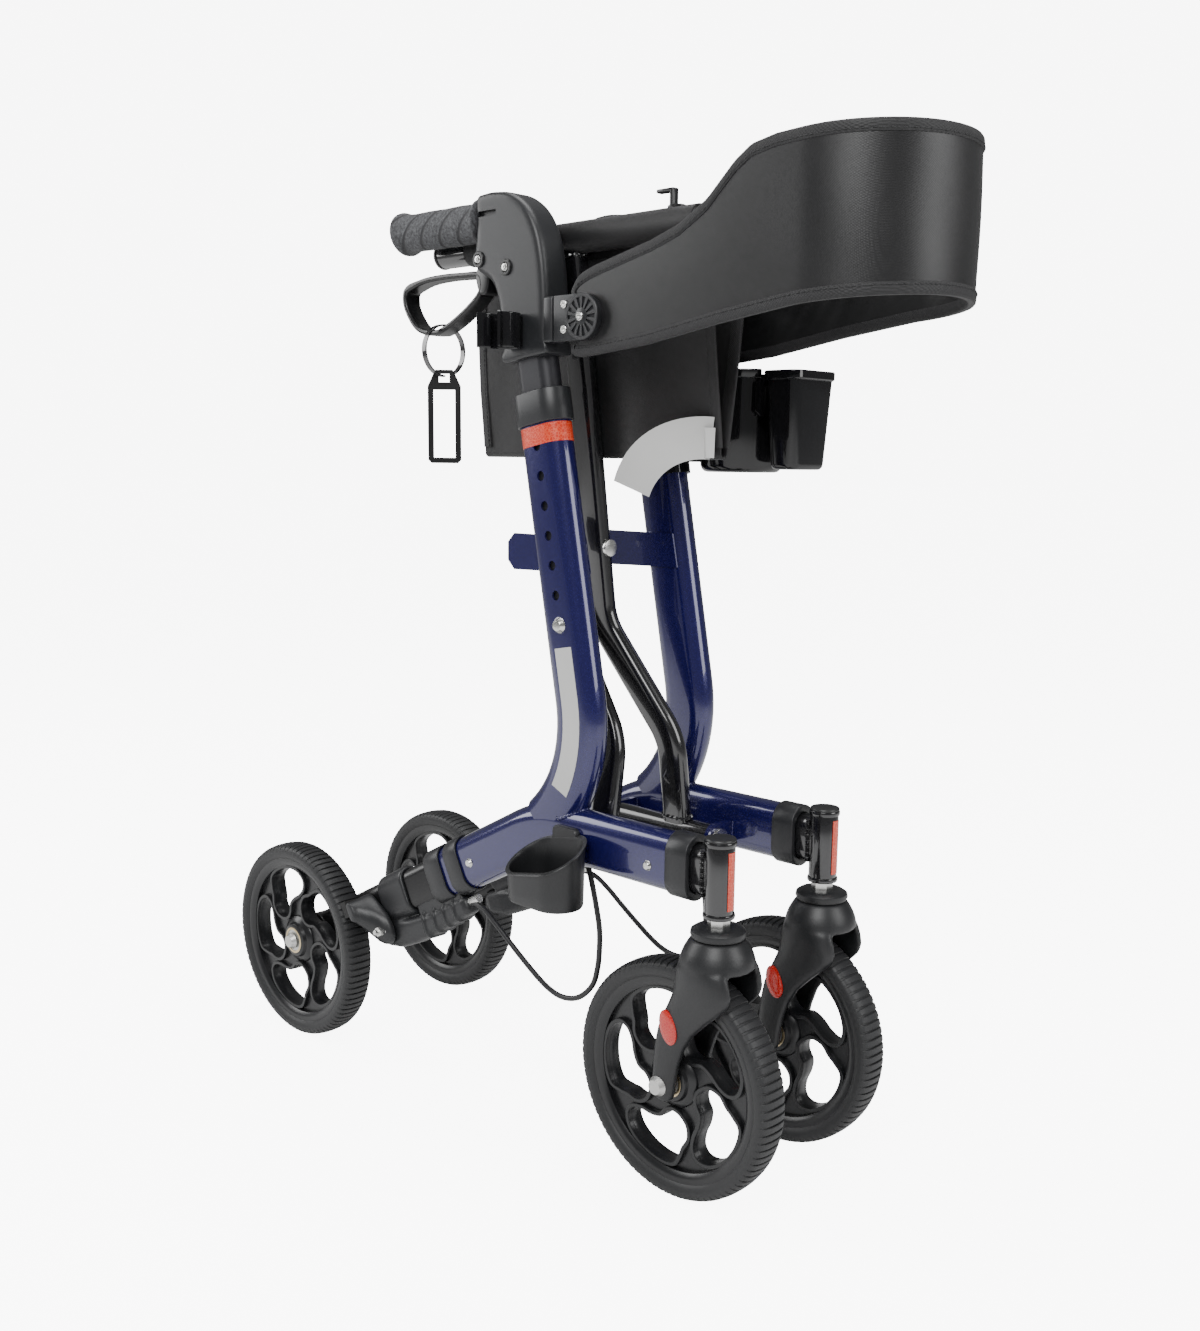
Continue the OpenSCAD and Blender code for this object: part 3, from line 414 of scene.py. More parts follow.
def loft(rings, cap=True, ring_closed=True, loop=False):
    """Points and faces through a list of rings with the same number of points."""
    n = len(rings[0])
    points = [p for r in rings for p in r]
    faces = []
    spans = len(rings) if loop else len(rings) - 1
    for i in range(spans):
        a, b = i * n, ((i + 1) % len(rings)) * n
        for k in range(n if ring_closed else n - 1):
            faces.append((a + k, a + (k + 1) % n, b + (k + 1) % n, b + k))
    if cap and not loop:
        faces.append(tuple(range(n - 1, -1, -1)))
        faces.append(tuple((len(rings) - 1) * n + k for k in range(n)))
    return points, faces


def joined(parts):
    points, faces = [], []
    for p, f in parts:
        start = len(points)
        points += list(p)
        faces += [tuple(i + start for i in face) for face in f]
    return points, faces


# %% Sections and paths
def oval(deep, narrow, n=12):
    """Points (along the deep side, along the narrow side), in metres."""
    r, s = narrow / 2, (deep - narrow) / 2
    pts = []
    for k in range(n + 1):
        a = math.pi * k / n
        pts.append((s + r * math.sin(a), r * math.cos(a)))
    for k in range(n + 1):
        a = math.pi * k / n
        pts.append((-s - r * math.sin(a), -r * math.cos(a)))
    return pts


def round_box(deep, narrow, r, n=4):
    pts = []
    for cx, cy, start in ((1, 1, 0), (-1, 1, 90), (-1, -1, 180), (1, -1, 270)):
        for k in range(n + 1):
            a = math.radians(start + 90 * k / n)
            pts.append((cx * (deep / 2 - r) + r * math.cos(a), cy * (narrow / 2 - r) + r * math.sin(a)))
    return pts


def bent_path(corners, radius, step=6):
    """Corner points in a plane, with each inner corner rounded."""
    out = [np.array(corners[0], float)]
    for a, b, c in zip(corners, corners[1:], corners[2:]):
        a, b, c = (np.array(v, float) for v in (a, b, c))
        u, v = (a - b) / np.linalg.norm(a - b), (c - b) / np.linalg.norm(c - b)
        half = math.acos(np.clip(u @ v, -1, 1)) / 2
        reach = radius / math.tan(half)
        mid = b + (u + v) / np.linalg.norm(u + v) * radius / math.sin(half)
        p, q = b + u * reach - mid, b + v * reach - mid
        turn = math.pi - 2 * half
        side = np.sign(p[0] * q[1] - p[1] * q[0])
        count = max(4, int(math.degrees(turn) / step))
        for k in range(count + 1):
            t = side * turn * k / count
            out.append(mid + np.array([p[0] * math.cos(t) - p[1] * math.sin(t),
                                       p[0] * math.sin(t) + p[1] * math.cos(t)]))
    out.append(np.array(corners[-1], float))
    return out


def tangents(path):
    path = np.array(path)
    d = np.gradient(path, axis=0)
    return d / np.linalg.norm(d, axis=1)[:, None]


def side_rings(path, section, x):
    """Rings of a section along a path of (y, z) points in the side plane at x."""
    rings = []
    for (y, z), (ty, tz) in zip(path, tangents(path)):
        rings.append([(x + b, y - a * tz, z + a * ty) for a, b in section])
    return rings


def side_tube(path, outer, inner, x):
    """Open tube with a real wall."""
    rings = side_rings(path, outer, x) + side_rings(path, inner, x)[::-1]
    return loft(rings, loop=True)


def turned(profile, steps=64):
    """A profile of (distance along X, radius) turned about X."""
    rings = []
    for k in range(steps):
        a = 2 * math.pi * k / steps
        rings.append([(h, r * math.cos(a), r * math.sin(a)) for h, r in profile])
    return loft(rings, loop=True)


def placed(points, where=(0, 0, 0), axis="X"):
    out = []
    for x, y, z in points:
        if axis == "Y":
            x, y, z = y, x, z
        elif axis == "Z":
            x, y, z = z, y, x
        out.append((x + where[0], y + where[1], z + where[2]))
    return out


def spun(profile, where=(0, 0, 0), axis="X", steps=64):
    """A profile turned about an axis, then set down at a place."""
    points, faces = turned(profile, steps)
    return placed(points, where, axis), faces


def around(n):
    """Equal angles once round."""
    return np.linspace(0, 2 * math.pi, n + 1)[:-1]


def swept(points, radius, sides=12, wobble=None):
    """Round cord through 3-D points; wobble gives a radius for each point."""
    path = np.array(points, float)
    t = np.gradient(path, axis=0)
    t /= np.linalg.norm(t, axis=1)[:, None]
    up = np.array([1.0, 0, 0]) if abs(t[0][0]) < 0.9 else np.array([0, 1.0, 0])
    rings = []
    for i, (p, d) in enumerate(zip(path, t)):
        up = up - d * (up @ d)
        up /= np.linalg.norm(up)
        side = np.cross(d, up)
        r = radius if wobble is None else wobble[i]
        rings.append([tuple(p + r * (math.cos(a) * up + math.sin(a) * side))
                      for a in (2 * math.pi * k / sides for k in range(sides))])
    return rings


def between(a, b, c, d, t):
    """Catmull-Rom point on the way from b to c."""
    return 0.5 * (2 * b + (c - a) * t + (2 * a - 5 * b + 4 * c - d) * t * t
                  + (3 * b - a - 3 * c + d) * t ** 3)


def smooth_line(points, per=6):
    """Smooth curve through 3-D points."""
    p = [np.array(q, float) for q in points]
    p = [2 * p[0] - p[1]] + p + [2 * p[-1] - p[-2]]
    out = []
    for a, b, c, d in zip(p, p[1:], p[2:], p[3:]):
        out += [between(a, b, c, d, k / per) for k in range(per)]
    out.append(p[-2])
    return out


def shrunk(outline, by):
    """Each point moved inwards along the line's normal."""
    p = np.array(outline, float)
    t = np.roll(p, -1, axis=0) - np.roll(p, 1, axis=0)
    t /= np.linalg.norm(t, axis=1)[:, None]
    turn = np.sum(p[:, 0] * np.roll(p[:, 1], -1) - np.roll(p[:, 0], -1) * p[:, 1])
    inward = np.column_stack([-t[:, 1], t[:, 0]]) * (1 if turn > 0 else -1)
    return p + inward * by


def melted(name, parts, voxel, smooth, material, iterations=10):
    ob = piece(name, *joined(parts), material)
    remesh = ob.modifiers.new("melt", "REMESH")
    remesh.mode, remesh.voxel_size = "VOXEL", voxel
    soft = ob.modifiers.new("soft", "SMOOTH")
    soft.factor, soft.iterations = smooth, iterations
    settle(ob, 60)
    ob.data.materials.clear()
    ob.data.materials.append(material)
    return ob


print("mesh helpers ready")

# %% [markdown]
# ## Rounding a moulded part
# Injection-moulded parts have no sharp edges: a radius of a millimetre catches a bright line of
# light. The CAD solids are sharp, so a merged copy gets a Bevel modifier on its real corners, and
# the copy replaces the CAD node in the picture.

# %% Rounded copies of CAD solids
def rounded(node_name, name, width, material, body, slot, segments=2, angle=28):
    mesh = nodes[node_name].data.copy()
    mesh.materials.clear()
    mesh.materials.append(material)
    bm = bmesh.new()
    bm.from_mesh(mesh)
    bmesh.ops.remove_doubles(bm, verts=bm.verts, dist=1e-5)
    bmesh.ops.dissolve_limit(bm, angle_limit=math.radians(1.0), verts=bm.verts, edges=bm.edges)
    bm.to_mesh(mesh)
    bm.free()
    ob = bpy.data.objects.new(name, mesh)
    bpy.context.collection.objects.link(ob)
    bevel = ob.modifiers.new("edges", "BEVEL")
    bevel.width = width
    bevel.segments = segments
    bevel.limit_method = "ANGLE"
    bevel.angle_limit = math.radians(angle)
    bevel.use_clamp_overlap = True
    settle(ob, 40)
    return fit(ob, body, slot, node_name)


SIDES = (("right", -1), ("left", 1))
for side, sign in SIDES:
    rounded(f"{side}_collars", f"{side}_collar_rings", 0.0008, grey_plastic, f"{side}_frame", "grey_plastic")
    rounded(f"{side}_front_leg", f"{side}_head_bar", 0.0009, black_paint, f"{side}_frame", "black_paint")
    rounded(f"{side}_rear_leg", f"{side}_rear_bar", 0.0015, black_plastic, f"{side}_frame", "black_paint")
    rounded(f"{side}_strap_bracket", f"{side}_strap_block", 0.002, grey_plastic, f"{side}_handle",
            "grey_plastic", 3)
    rounded(f"{side}_strap_plate", f"{side}_strap_clamp", 0.0012, grey_plastic, f"{side}_strap",
            "grey_plastic")
    rounded(f"{side}_frame_bolts", f"{side}_screw_set", 0.0006, zinc, f"{side}_frame", "zinc")
rounded("brace_cross_bolt", "cross_bolt", 0.0007, zinc, "brace_b", "zinc")
rounded("right_rail_caps", "right_rail_plugs", 0.001, black_plastic, "brace_a", "black_plastic")
rounded("left_rail_caps", "left_rail_plugs", 0.001, black_plastic, "brace_b", "black_plastic")

# %% [markdown]
# ## Side frames
# Each side frame is an oval aluminium tube: a level bar that bends down to the rear wheel, and an
# upright whose curved foot is welded into it. The CAD mitres the bend, so the painted piece sweeps
# the same oval along a smoothly bent line, cuts the height holes, and adds the weld bead.

# %% Sizes of the side frame
FRAME_X, TUBE_Z = 0.070, 0.283
LEAN, SLOPE = math.radians(10.8), math.radians(28.03)
FOOT = np.array([-0.162, 0.402])
ARC_MID, ARC_R = np.array([-0.0441, 0.3795]), 0.120


def up(t):
    return FOOT + t * np.array([math.sin(LEAN), math.cos(LEAN)])


def on_arc(degrees):
    """A point of the upright's curved foot, in the side plane."""
    a = math.radians(degrees)
    return ARC_MID + ARC_R * np.array([math.cos(a), math.sin(a)])


def down_slope(u, v=0.0):
    return np.array([-0.121 + u * math.cos(SLOPE) + v * math.sin(SLOPE),
                     TUBE_Z - u * math.sin(SLOPE) + v * math.cos(SLOPE)])


lower_line = bent_path([(-0.2915, TUBE_Z), (-0.121, TUBE_Z), tuple(down_slope(0.150))], 0.110, 3)
foot_line = [on_arc(a) for a in np.arange(229.2, 169.0, -4.0)]
upright_line = foot_line + [up(t) for t in (0.012, 0.03, 0.06, 0.10, 0.15, 0.20, 0.236)]


def inside_lower(x, y, z):
    """True inside the lower tube, for the weld line."""
    best = min((np.hypot(y - a[0], z - a[1]), i) for i, a in enumerate(lower_line))[1]
    t = tangents(lower_line)[best]
    a = -(y - lower_line[best][0]) * t[1] + (z - lower_line[best][1]) * t[0]
    flat = max(abs(a) - 0.011, 0.0)
    return math.hypot(flat, abs(x)) < 0.01425


def weld_line():
    """Where the walls of the upright's foot enter the lower tube, once round."""
    section = oval(0.0492, 0.0268, 14)
    dense = [on_arc(a) for a in np.arange(169.2, 229.2, 1.0)]
    rings = side_rings(dense, section, 0.0)
    line = []
    for k in range(len(section)):
        hit = next((r[k] for r in rings if inside_lower(*r[k])), None)
        if hit is not None:
            line.append(np.array(hit))
    return line


def slab(outline, low, high):
    """Flat plate: an outline of (x, z) points, thick along Y."""
    rings = [[(x, low, z) for x, z in outline], [(x, high, z) for x, z in outline]]
    return loft(rings)


def bead(points, radius, ripple=0.25, per=5, closed=True):
    line = smooth_line(points + points[:1] if closed else points, per)
    wobble = [radius * (1 + ripple * math.sin(i * 1.9)) for i in range(len(line))]
    return loft(swept(line, radius, 8, wobble))


def cut_holes(ob, places, radius, sign):
    """Round holes from the middle of the upright out through its outer wall."""
    middle, beyond = sign * FRAME_X, sign * (FRAME_X + 0.02)
    profile = [(beyond, 1e-5), (beyond, radius), (middle, radius), (middle, 1e-5)]
    parts = [spun(profile, (0, y, z), steps=24) for y, z in places]
    cutter = piece("hole_cutter", *joined(parts), black_plastic)
    boolean = ob.modifiers.new("holes", "BOOLEAN")
    boolean.operation, boolean.solver, boolean.object = "DIFFERENCE", "EXACT", cutter
    settle(ob, 35)
    bpy.data.objects.remove(cutter)


for side, sign in SIDES:
    x = sign * FRAME_X
    ob = piece(f"{side}_upright_tube",
               *side_tube(upright_line, oval(0.0492, 0.0276), oval(0.0455, 0.0238), x), blue_paint)
    cut_holes(ob, [up(0.064 + 0.025 * i) for i in range(7)], 0.0041, sign)
    fit(ob, f"{side}_frame", "frame_paint")
    parts = [side_tube(lower_line, oval(0.050, 0.028), oval(0.046, 0.024), x)]
    ear = [(sign * (0.034 + 0.0115 * math.cos(a)), 0.275 + 0.0115 * math.sin(a))
           for a in np.linspace(math.radians(90), math.radians(270), 16)]
    ear += [(sign * 0.0585, 0.2635), (sign * 0.0585, 0.2865)]
    parts += [slab(ear, -0.228, -0.224), slab(ear, -0.112, -0.108)]
    rest = [(-0.158, 0.507), (-0.064, 0.505), (-0.056, 0.513), (-0.056, 0.529), (-0.064, 0.537),
            (-0.152, 0.537)]
    rings = [[(sign * (FRAME_X - 0.0154), y, z) for y, z in rest],
             [(sign * (FRAME_X - 0.0134), y, z) for y, z in rest]]
    parts.append(loft(rings))
    fit(piece(f"{side}_lower_tube", *joined(parts), blue_paint), f"{side}_frame", "frame_paint",
        f"{side}_side_frame")
    line = [(q[0] + x, q[1], q[2]) for q in weld_line()]
    beads = [bead(line, 0.0016)]
    for y in (-0.2285, -0.2235, -0.1125, -0.1075):
        beads.append(bead([(sign * 0.0563, y, z) for z in np.linspace(0.265, 0.286, 5)], 0.0013,
                          closed=False))
    fit(piece(f"{side}_weld_beads", *joined(beads), blue_paint, 60), f"{side}_frame", "frame_paint")
print("side frames; weld points", len(line))

# %% [markdown]
# ## Cross braces and seat rails
# Two black tubes cross between the side frames. Each has a cross tube at its foot, a soft double
# bend that brings it back, and a round seat rail across its top. They are swept in the brace's own
# flat frame, then leaned over by the folding angle.

# %% Braces
FOLD = math.radians(7.745)
RAIL_UP = 0.5136


def leaned(points, pivot_x, angle):
    c, s = math.cos(angle), math.sin(angle)
    return [(pivot_x + p[0] * c + p[2] * s, p[1], 0.275 - p[0] * s + p[2] * c) for p in points]


def pipe(low, high, inner, outer, edge=0.0007):
    """Profile of a short round tube with eased outer ends."""
    return [(low, inner), (low, outer - edge), (low + edge, outer), (high - edge, outer),
            (high, outer - edge), (high, inner)]


def brace(name, low_y, pivot_x, angle, body, cad):
    line = bent_path([(low_y, 0.004), (low_y, 0.084), (low_y + 0.073, 0.184), (low_y + 0.073, 0.506)], 0.055,
                     6)
    tube = loft(side_rings(line, round_box(0.028, 0.016, 0.0072, 5), 0.0))
    foot = spun(pipe(-0.2235, -0.1125, 0.0052, 0.0105), (0, 0, 0), "Y", 32)
    rail = spun(pipe(-0.250, 0.052, 0.0095, 0.0115), (0, 0, RAIL_UP), "Y", 32)
    parts = [tube, foot, rail]
    for y, z in ((low_y, 0.0), (low_y + 0.073, RAIL_UP)):
        reach = 0.0125 if z < 0.1 else -0.0135
        loop = [(0.0088 * math.cos(a), y + 0.0148 * math.sin(a), z + reach) for a in around(15)]
        parts.append(bead(loop, 0.0016, 0.3, 4))
    points, faces = joined(parts)
    return fit(piece(name, leaned(points, pivot_x, angle), faces, black_paint), body, "black_paint", cad)


brace("brace_tube_a", -0.184, 0.034, -FOLD, "brace_a", "brace_a")
brace("brace_tube_b", -0.1552, -0.034, FOLD, "brace_b", "brace_b")
print("braces made")

# %% [markdown]
# ## Wheels
# A wheel has a solid grey tyre with a groove every few degrees, and a moulded centre with five
# kidney-shaped openings, each with a raised lip. The tyre is a turned profile; Geometry Nodes set its
# tread bars round it, since each bar is the same small block at an equal turn.

# %% A ring of equal pieces, with Geometry Nodes
def ring_tree():
    tree = bpy.data.node_groups.new("ring_of_pieces", "GeometryNodeTree")
    for key, kind in (("Piece", "NodeSocketObject"), ("Count", "NodeSocketInt"),
                      ("Centre", "NodeSocketVector"),
                      ("Finish", "NodeSocketMaterial")):
        tree.interface.new_socket(name=key, in_out="INPUT", socket_type=kind)
    tree.interface.new_socket(name="Geometry", in_out="OUTPUT", socket_type="NodeSocketGeometry")
    gin, gout = tree.nodes.new("NodeGroupInput"), tree.nodes.new("NodeGroupOutput")
    points = tree.nodes.new("GeometryNodePoints")
    info = tree.nodes.new("GeometryNodeObjectInfo")
    index = tree.nodes.new("GeometryNodeInputIndex")
    share = node(tree, "ShaderNodeMath", operation="DIVIDE")
    turn = node(tree, "ShaderNodeMath", [(1, 2 * math.pi)], operation="MULTIPLY")
    spin = tree.nodes.new("ShaderNodeCombineXYZ")
    place = tree.nodes.new("GeometryNodeInstanceOnPoints")
    real = tree.nodes.new("GeometryNodeRealizeInstances")
    paint = tree.nodes.new("GeometryNodeSetMaterial")
    link = tree.links.new
    link(gin.outputs["Count"], points.inputs["Count"])
    link(gin.outputs["Centre"], points.inputs["Position"])
    link(gin.outputs["Piece"], info.inputs["Object"])
    link(index.outputs[0], share.inputs[0])
    link(gin.outputs["Count"], share.inputs[1])
    link(share.outputs[0], turn.inputs[0])
    link(turn.outputs[0], spin.inputs["X"])
    link(points.outputs[0], place.inputs["Points"])
    link(info.outputs["Geometry"], place.inputs["Instance"])
    link(spin.outputs[0], place.inputs["Rotation"])
    link(place.outputs[0], real.inputs[0])
    link(real.outputs[0], paint.inputs["Geometry"])
    link(gin.outputs["Finish"], paint.inputs["Material"])
    link(paint.outputs[0], gout.inputs[0])
    return tree


def run_tree(name, tree, angle=35, **values):
    holder = bpy.data.objects.new(name, bpy.data.meshes.new(name))
    bpy.context.collection.objects.link(holder)
    mod = holder.modifiers.new("make", "NODES")
    mod.node_group = tree
    ids = {s.name: s.identifier for s in tree.interface.items_tree if getattr(s, "in_out", "") == "INPUT"}
    for key, value in values.items():
        mod[ids[key]] = value
    return settle(holder, angle)


tree_ring = ring_tree()

# %% Tyre and tread
TYRE_R = 0.1015
tyre_profile = [(-12, 86.6), (-14, 88.5), (-15, 92.5), (-14.7, 95.5), (-13.2, 98.0), (-10, 99.3), (-5, 99.8),
                (0, 99.9)]
tyre_profile = [(h / 1000, r / 1000) for h, r in tyre_profile + [(-h, r) for h, r in tyre_profile[-2::-1]]]
crown = [(-14.9, 94.2), (-14.4, 97.0), (-12.6, 99.3), (-10, 100.5), (-5, 101.3), (0, 101.5), (5, 101.3),
         (10, 100.5), (12.6, 99.3), (14.4, 97.0), (14.9, 94.2)]


def tread_bar():
    rings = []
    for h, r in crown:
        low = r - 2.6
        rings.append([(h / 1000, math.sin(a) * q / 1000, math.cos(a) * q / 1000)
                      for a,
                      q in ((-0.026, low), (-0.0262, r - 0.5), (-0.022, r), (0.022, r), (0.0262, r - 0.5),
                            (0.026, low))])
    return piece("tread_bar", *loft(rings), tyre_rubber)


bar = tread_bar()
wheels = [(f"{side}_{end}",
           (sign * (0.070 if end == "front" else 0.097), -0.2795 if end == "front" else 0.220, TYRE_R),
           f"{side}_{end}_wheel") for side, sign in SIDES for end in ("front", "rear")]
for name, centre, body in wheels:
    fit(piece(f"{name}_tyre_casing", *spun(tyre_profile, centre, steps=96), tyre_rubber), body, "tyre",
        f"{name}_tyre")
    ob = run_tree(f"{name}_tread_bars", tree_ring, 30, Piece=bar, Count=90, Centre=centre, Finish=tyre_rubber)
    fit(ob, body, "tyre")
bpy.data.objects.remove(bar)
print("tyres", len(wheels))


# %% Wheel centre
def closed_curve(points):
    """Smooth closed curve through points in a plane."""
    p = [np.array(q, float) for q in points]
    out = []
    for i in range(len(p)):
        a, b, c, d = p[i - 1], p[i], p[(i + 1) % len(p)], p[(i + 2) % len(p)]
        out += [between(a, b, c, d, k / 6) for k in range(6)]
    return out


kidney_polar = [(73, -20), (75.5, -8), (76, 6), (74, 19), (68, 28), (59, 30), (50, 24), (44, 12), (38, 0),
                (30, -8), (27, -22), (31, -36), (40, -42), (50, -38), (57, -30), (64, -26)]
kidney = closed_curve([(r * math.cos(math.radians(a)), r * math.sin(math.radians(a))) for r,
                       a in kidney_polar])


def grown(outline, by):
    out = []
    for i, p in enumerate(outline):
        t = outline[(i + 1) % len(outline)] - outline[i - 1]
        n = np.array([t[1], -t[0]]) / np.linalg.norm(t)
        out.append(p + n * by)
    return out


def flat_part(name, outlines, half, bevel, centre):
    """A 2-D curve with holes, given thickness and a rounded edge, then stood up on the wheel's axle."""
    curve = bpy.data.curves.new(name, "CURVE")
    curve.dimensions, curve.fill_mode = "2D", "BOTH"
    curve.extrude, curve.bevel_depth, curve.bevel_resolution = (half - bevel) / 1000, bevel / 1000, 1
    for line in outlines:
        s = curve.splines.new("POLY")
        s.points.add(len(line) - 1)
        for q, p in zip(s.points, line):
            q.co = (p[0] / 1000, p[1] / 1000, 0, 1)
        s.use_cyclic_u = True
    holder = bpy.data.objects.new(name + "_curve", curve)
    bpy.context.collection.objects.link(holder)
    mesh = bpy.data.meshes.new_from_object(holder.evaluated_get(bpy.context.evaluated_depsgraph_get()))
    bpy.data.objects.remove(holder)
    points = [(v.co.z + centre[0], v.co.x + centre[1], v.co.y + centre[2]) for v in mesh.vertices]
    faces = [tuple(f.vertices) for f in mesh.polygons]
    bpy.data.meshes.remove(mesh)
    return points, faces


def circle(r, n=72):
    return [np.array([r * math.cos(2 * math.pi * k / n), r * math.sin(2 * math.pi * k / n)])
            for k in range(n)]


def turn2(outline, angle):
    c, s = math.cos(math.radians(angle)), math.sin(math.radians(angle))
    return [np.array([p[0] * c - p[1] * s, p[0] * s + p[1] * c]) for p in outline]


for name, centre, body in wheels:
    holes = [turn2(kidney, 72 * i) for i in range(5)]
    parts = [flat_part(name + "_web", [circle(79.5)] + [circle(14, 40)] + holes, 4.5, 0.8, centre)]
    for i in range(5):
        lip = [turn2(grown(kidney, by), 72 * i) for by in (2.4, 0.1)]
        parts.append(flat_part(name + "_lip", lip, 8.5, 0.7, centre))
    band = [(-12, 86.7), (-12.2, 84), (-11, 80.5), (-9, 78), (9, 78), (11, 80.5), (12.2, 84), (12, 86.7)]
    hub = [(-13, 11.2), (-13, 15), (-12, 17), (-9, 18.5), (-6.5, 24), (-5, 25), (5, 25), (6.5, 24), (9, 18.5),
           (12, 17), (13, 15), (13, 11.2)]
    parts += [spun([(h / 1000, r / 1000) for h, r in profile], centre, steps=72) for profile in (band, hub)]
    fit(piece(f"{name}_wheel_centre", *joined(parts), wheel_plastic), body, "wheel_plastic", f"{name}_rim")
    ring = [(12.6, 11.2), (13.5, 11.2), (13.7, 12.2), (13.2, 13.6), (12.6, 13.6)]
    rings = [spun([(s * h / 1000, r / 1000) for h, r in ring], centre, steps=40) for s in (-1, 1)]
    fit(piece(f"{name}_bearing_rings", *joined(rings), brass), body, "wheel_plastic")
print("wheel centres made")

# %% [markdown]
# ## Caster forks
# A fork is one moulding: a dome that flows back and down into two legs. Its parts are first laid
# together roughly, then a voxel remesh melts them into one skin, and smoothing gives the soft
# radii of a moulding.

# %% Forks
HEAD_Y = -0.3175
# Height, front edge, rear edge, outer face and squareness of a leg's level section, in millimetres
LEG = [(209, -25.0, 25.0, 30.8, 0.0), (201, -28.0, 26.0, 31.2, 0.1), (192, -29.6, 26.6, 30.8, 0.2),
       (184, -27.0, 28.2, 30.2, 0.3), (175, -18.5, 32.0, 29.4, 0.4), (165, -7.0, 36.8, 28.6, 0.5),
       (152, 6.0, 42.0, 27.6, 0.6), (138, 15.0, 45.0, 27.0, 0.6), (122, 20.5, 46.6, 26.6, 0.6),
       (106, 23.6, 47.4, 26.4, 0.6), (96, 24.6, 47.0, 26.4, 0.6), (91, 27.0, 45.0, 26.0, 0.5),
       (88, 31.0, 41.0, 24.5, 0.3)]


def leg(x, s, n=18):
    rings = []
    for z, front, rear, outer, square in LEG:
        mid, half, power = (front + rear) / 2, (rear - front) / 2, 1.0 - 0.62 * square
        ring = [(x + s * 0.0176, HEAD_Y + front / 1000, z / 1000)]
        for k in range(n + 1):
            a = math.pi * k / n
            across, out = -math.cos(a), math.sin(a)
            across = math.copysign(abs(across) ** power, across)
            ring.append((x + s * (0.0182 + (outer - 18.2) / 1000 * out ** power),
                         HEAD_Y + (mid + half * across) / 1000, z / 1000))
        ring.append((x + s * 0.0176, HEAD_Y + rear / 1000, z / 1000))
        rings.append(ring)
    return loft(rings)


for side, sign in SIDES:
    x = sign * FRAME_X
    dome = spun([(0.2072, 0.0001), (0.2072, 0.0305), (0.211, 0.0308), (0.216, 0.0299), (0.222, 0.0276),
                 (0.2275, 0.0244), (0.2318, 0.0214), (0.2318, 0.0001)], (x, HEAD_Y, 0), "Z", 48)
    ob = melted(f"{side}_caster_moulding", [leg(x, -1), leg(x, 1), dome], 0.0015, 0.5, fork_plastic, 14)
    fit(ob, f"{side}_fork", "grey_plastic", f"{side}_caster_fork")
    boot = [(0.2322, 0.0062), (0.2322, 0.0215), (0.2345, 0.0225), (0.2375, 0.022), (0.2395, 0.0190),
            (0.2405, 0.013), (0.2405, 0.0062)]
    fit(piece(f"{side}_swivel_boot", *spun(boot, (x, HEAD_Y, 0), "Z", 48), fork_plastic), f"{side}_fork",
        "grey_plastic")
    nut_rings = []
    for z, k in ((0.2400, 0.9), (0.2404, 1.0), (0.2470, 1.0), (0.2476, 0.9)):
        nut_rings.append([(x + 0.0092 * k * math.cos(a), HEAD_Y + 0.0092 * k * math.sin(a), z)
                          for a in around(6)])
    stem = [(0.236, 0.0001), (0.236, 0.0060), (0.309, 0.0060), (0.3098, 0.0052), (0.3098, 0.0001)]
    fit(piece(f"{side}_swivel_bolt", *joined([loft(nut_rings), spun(stem, (x, HEAD_Y, 0), "Z", 24)]), zinc,
              25), f"{side}_fork", "zinc", f"{side}_caster_stem")
    lenses = []
    for s in (-1, 1):
        tilt = math.radians(16)
        rings = []
        for h, k in ((0.0, 1.0), (0.0014, 1.0), (0.0022, 0.88), (0.0026, 0.5), (0.0027, 0.05)):
            ring = []
            for a in around(28):
                b, c = 0.0085 * k * math.cos(a), 0.0145 * k * math.sin(a)
                ring.append((x + s * (0.0272 + h), HEAD_Y + 0.0265 + b * math.cos(tilt) + c * math.sin(tilt),
                             0.156 - b * math.sin(tilt) + c * math.cos(tilt)))
            rings.append(ring)
        lenses.append(loft(rings))
    fit(piece(f"{side}_fork_reflectors", *joined(lenses), red_lens), f"{side}_fork", "black_rubber")
print("forks made")

# %% [markdown]
# ## Head tubes, straps of colour and labels
# Each head tube has dark rims and a small cap on top, a red reflective strip faces forwards, and a
# band of the same film wraps each upright under its collar. The labels are left blank. All of them
# are thin skins that follow the tube under them.

# %% Trim on the tubes
def patch(rings_in, rings_out):
    """Thin closed skin between two open sheets of points."""
    a, fa = loft(rings_in, cap=False, ring_closed=False)
    b, fb = loft(rings_out, cap=False, ring_closed=False)
    n, m, k = len(rings_in[0]), len(rings_in), len(a)
    edge = [i for i in range(n)] + [j * n + n - 1 for j in range(1, m)]
    edge += [(m - 1) * n + i for i in range(n - 2, -1, -1)] + [j * n for j in range(m - 2, 0, -1)]
    walls = [(p, q, q + k, p + k) for p, q in zip(edge, edge[1:] + edge[:1])]
    return a + b, fa + [tuple(i + k for i in reversed(f)) for f in fb] + walls


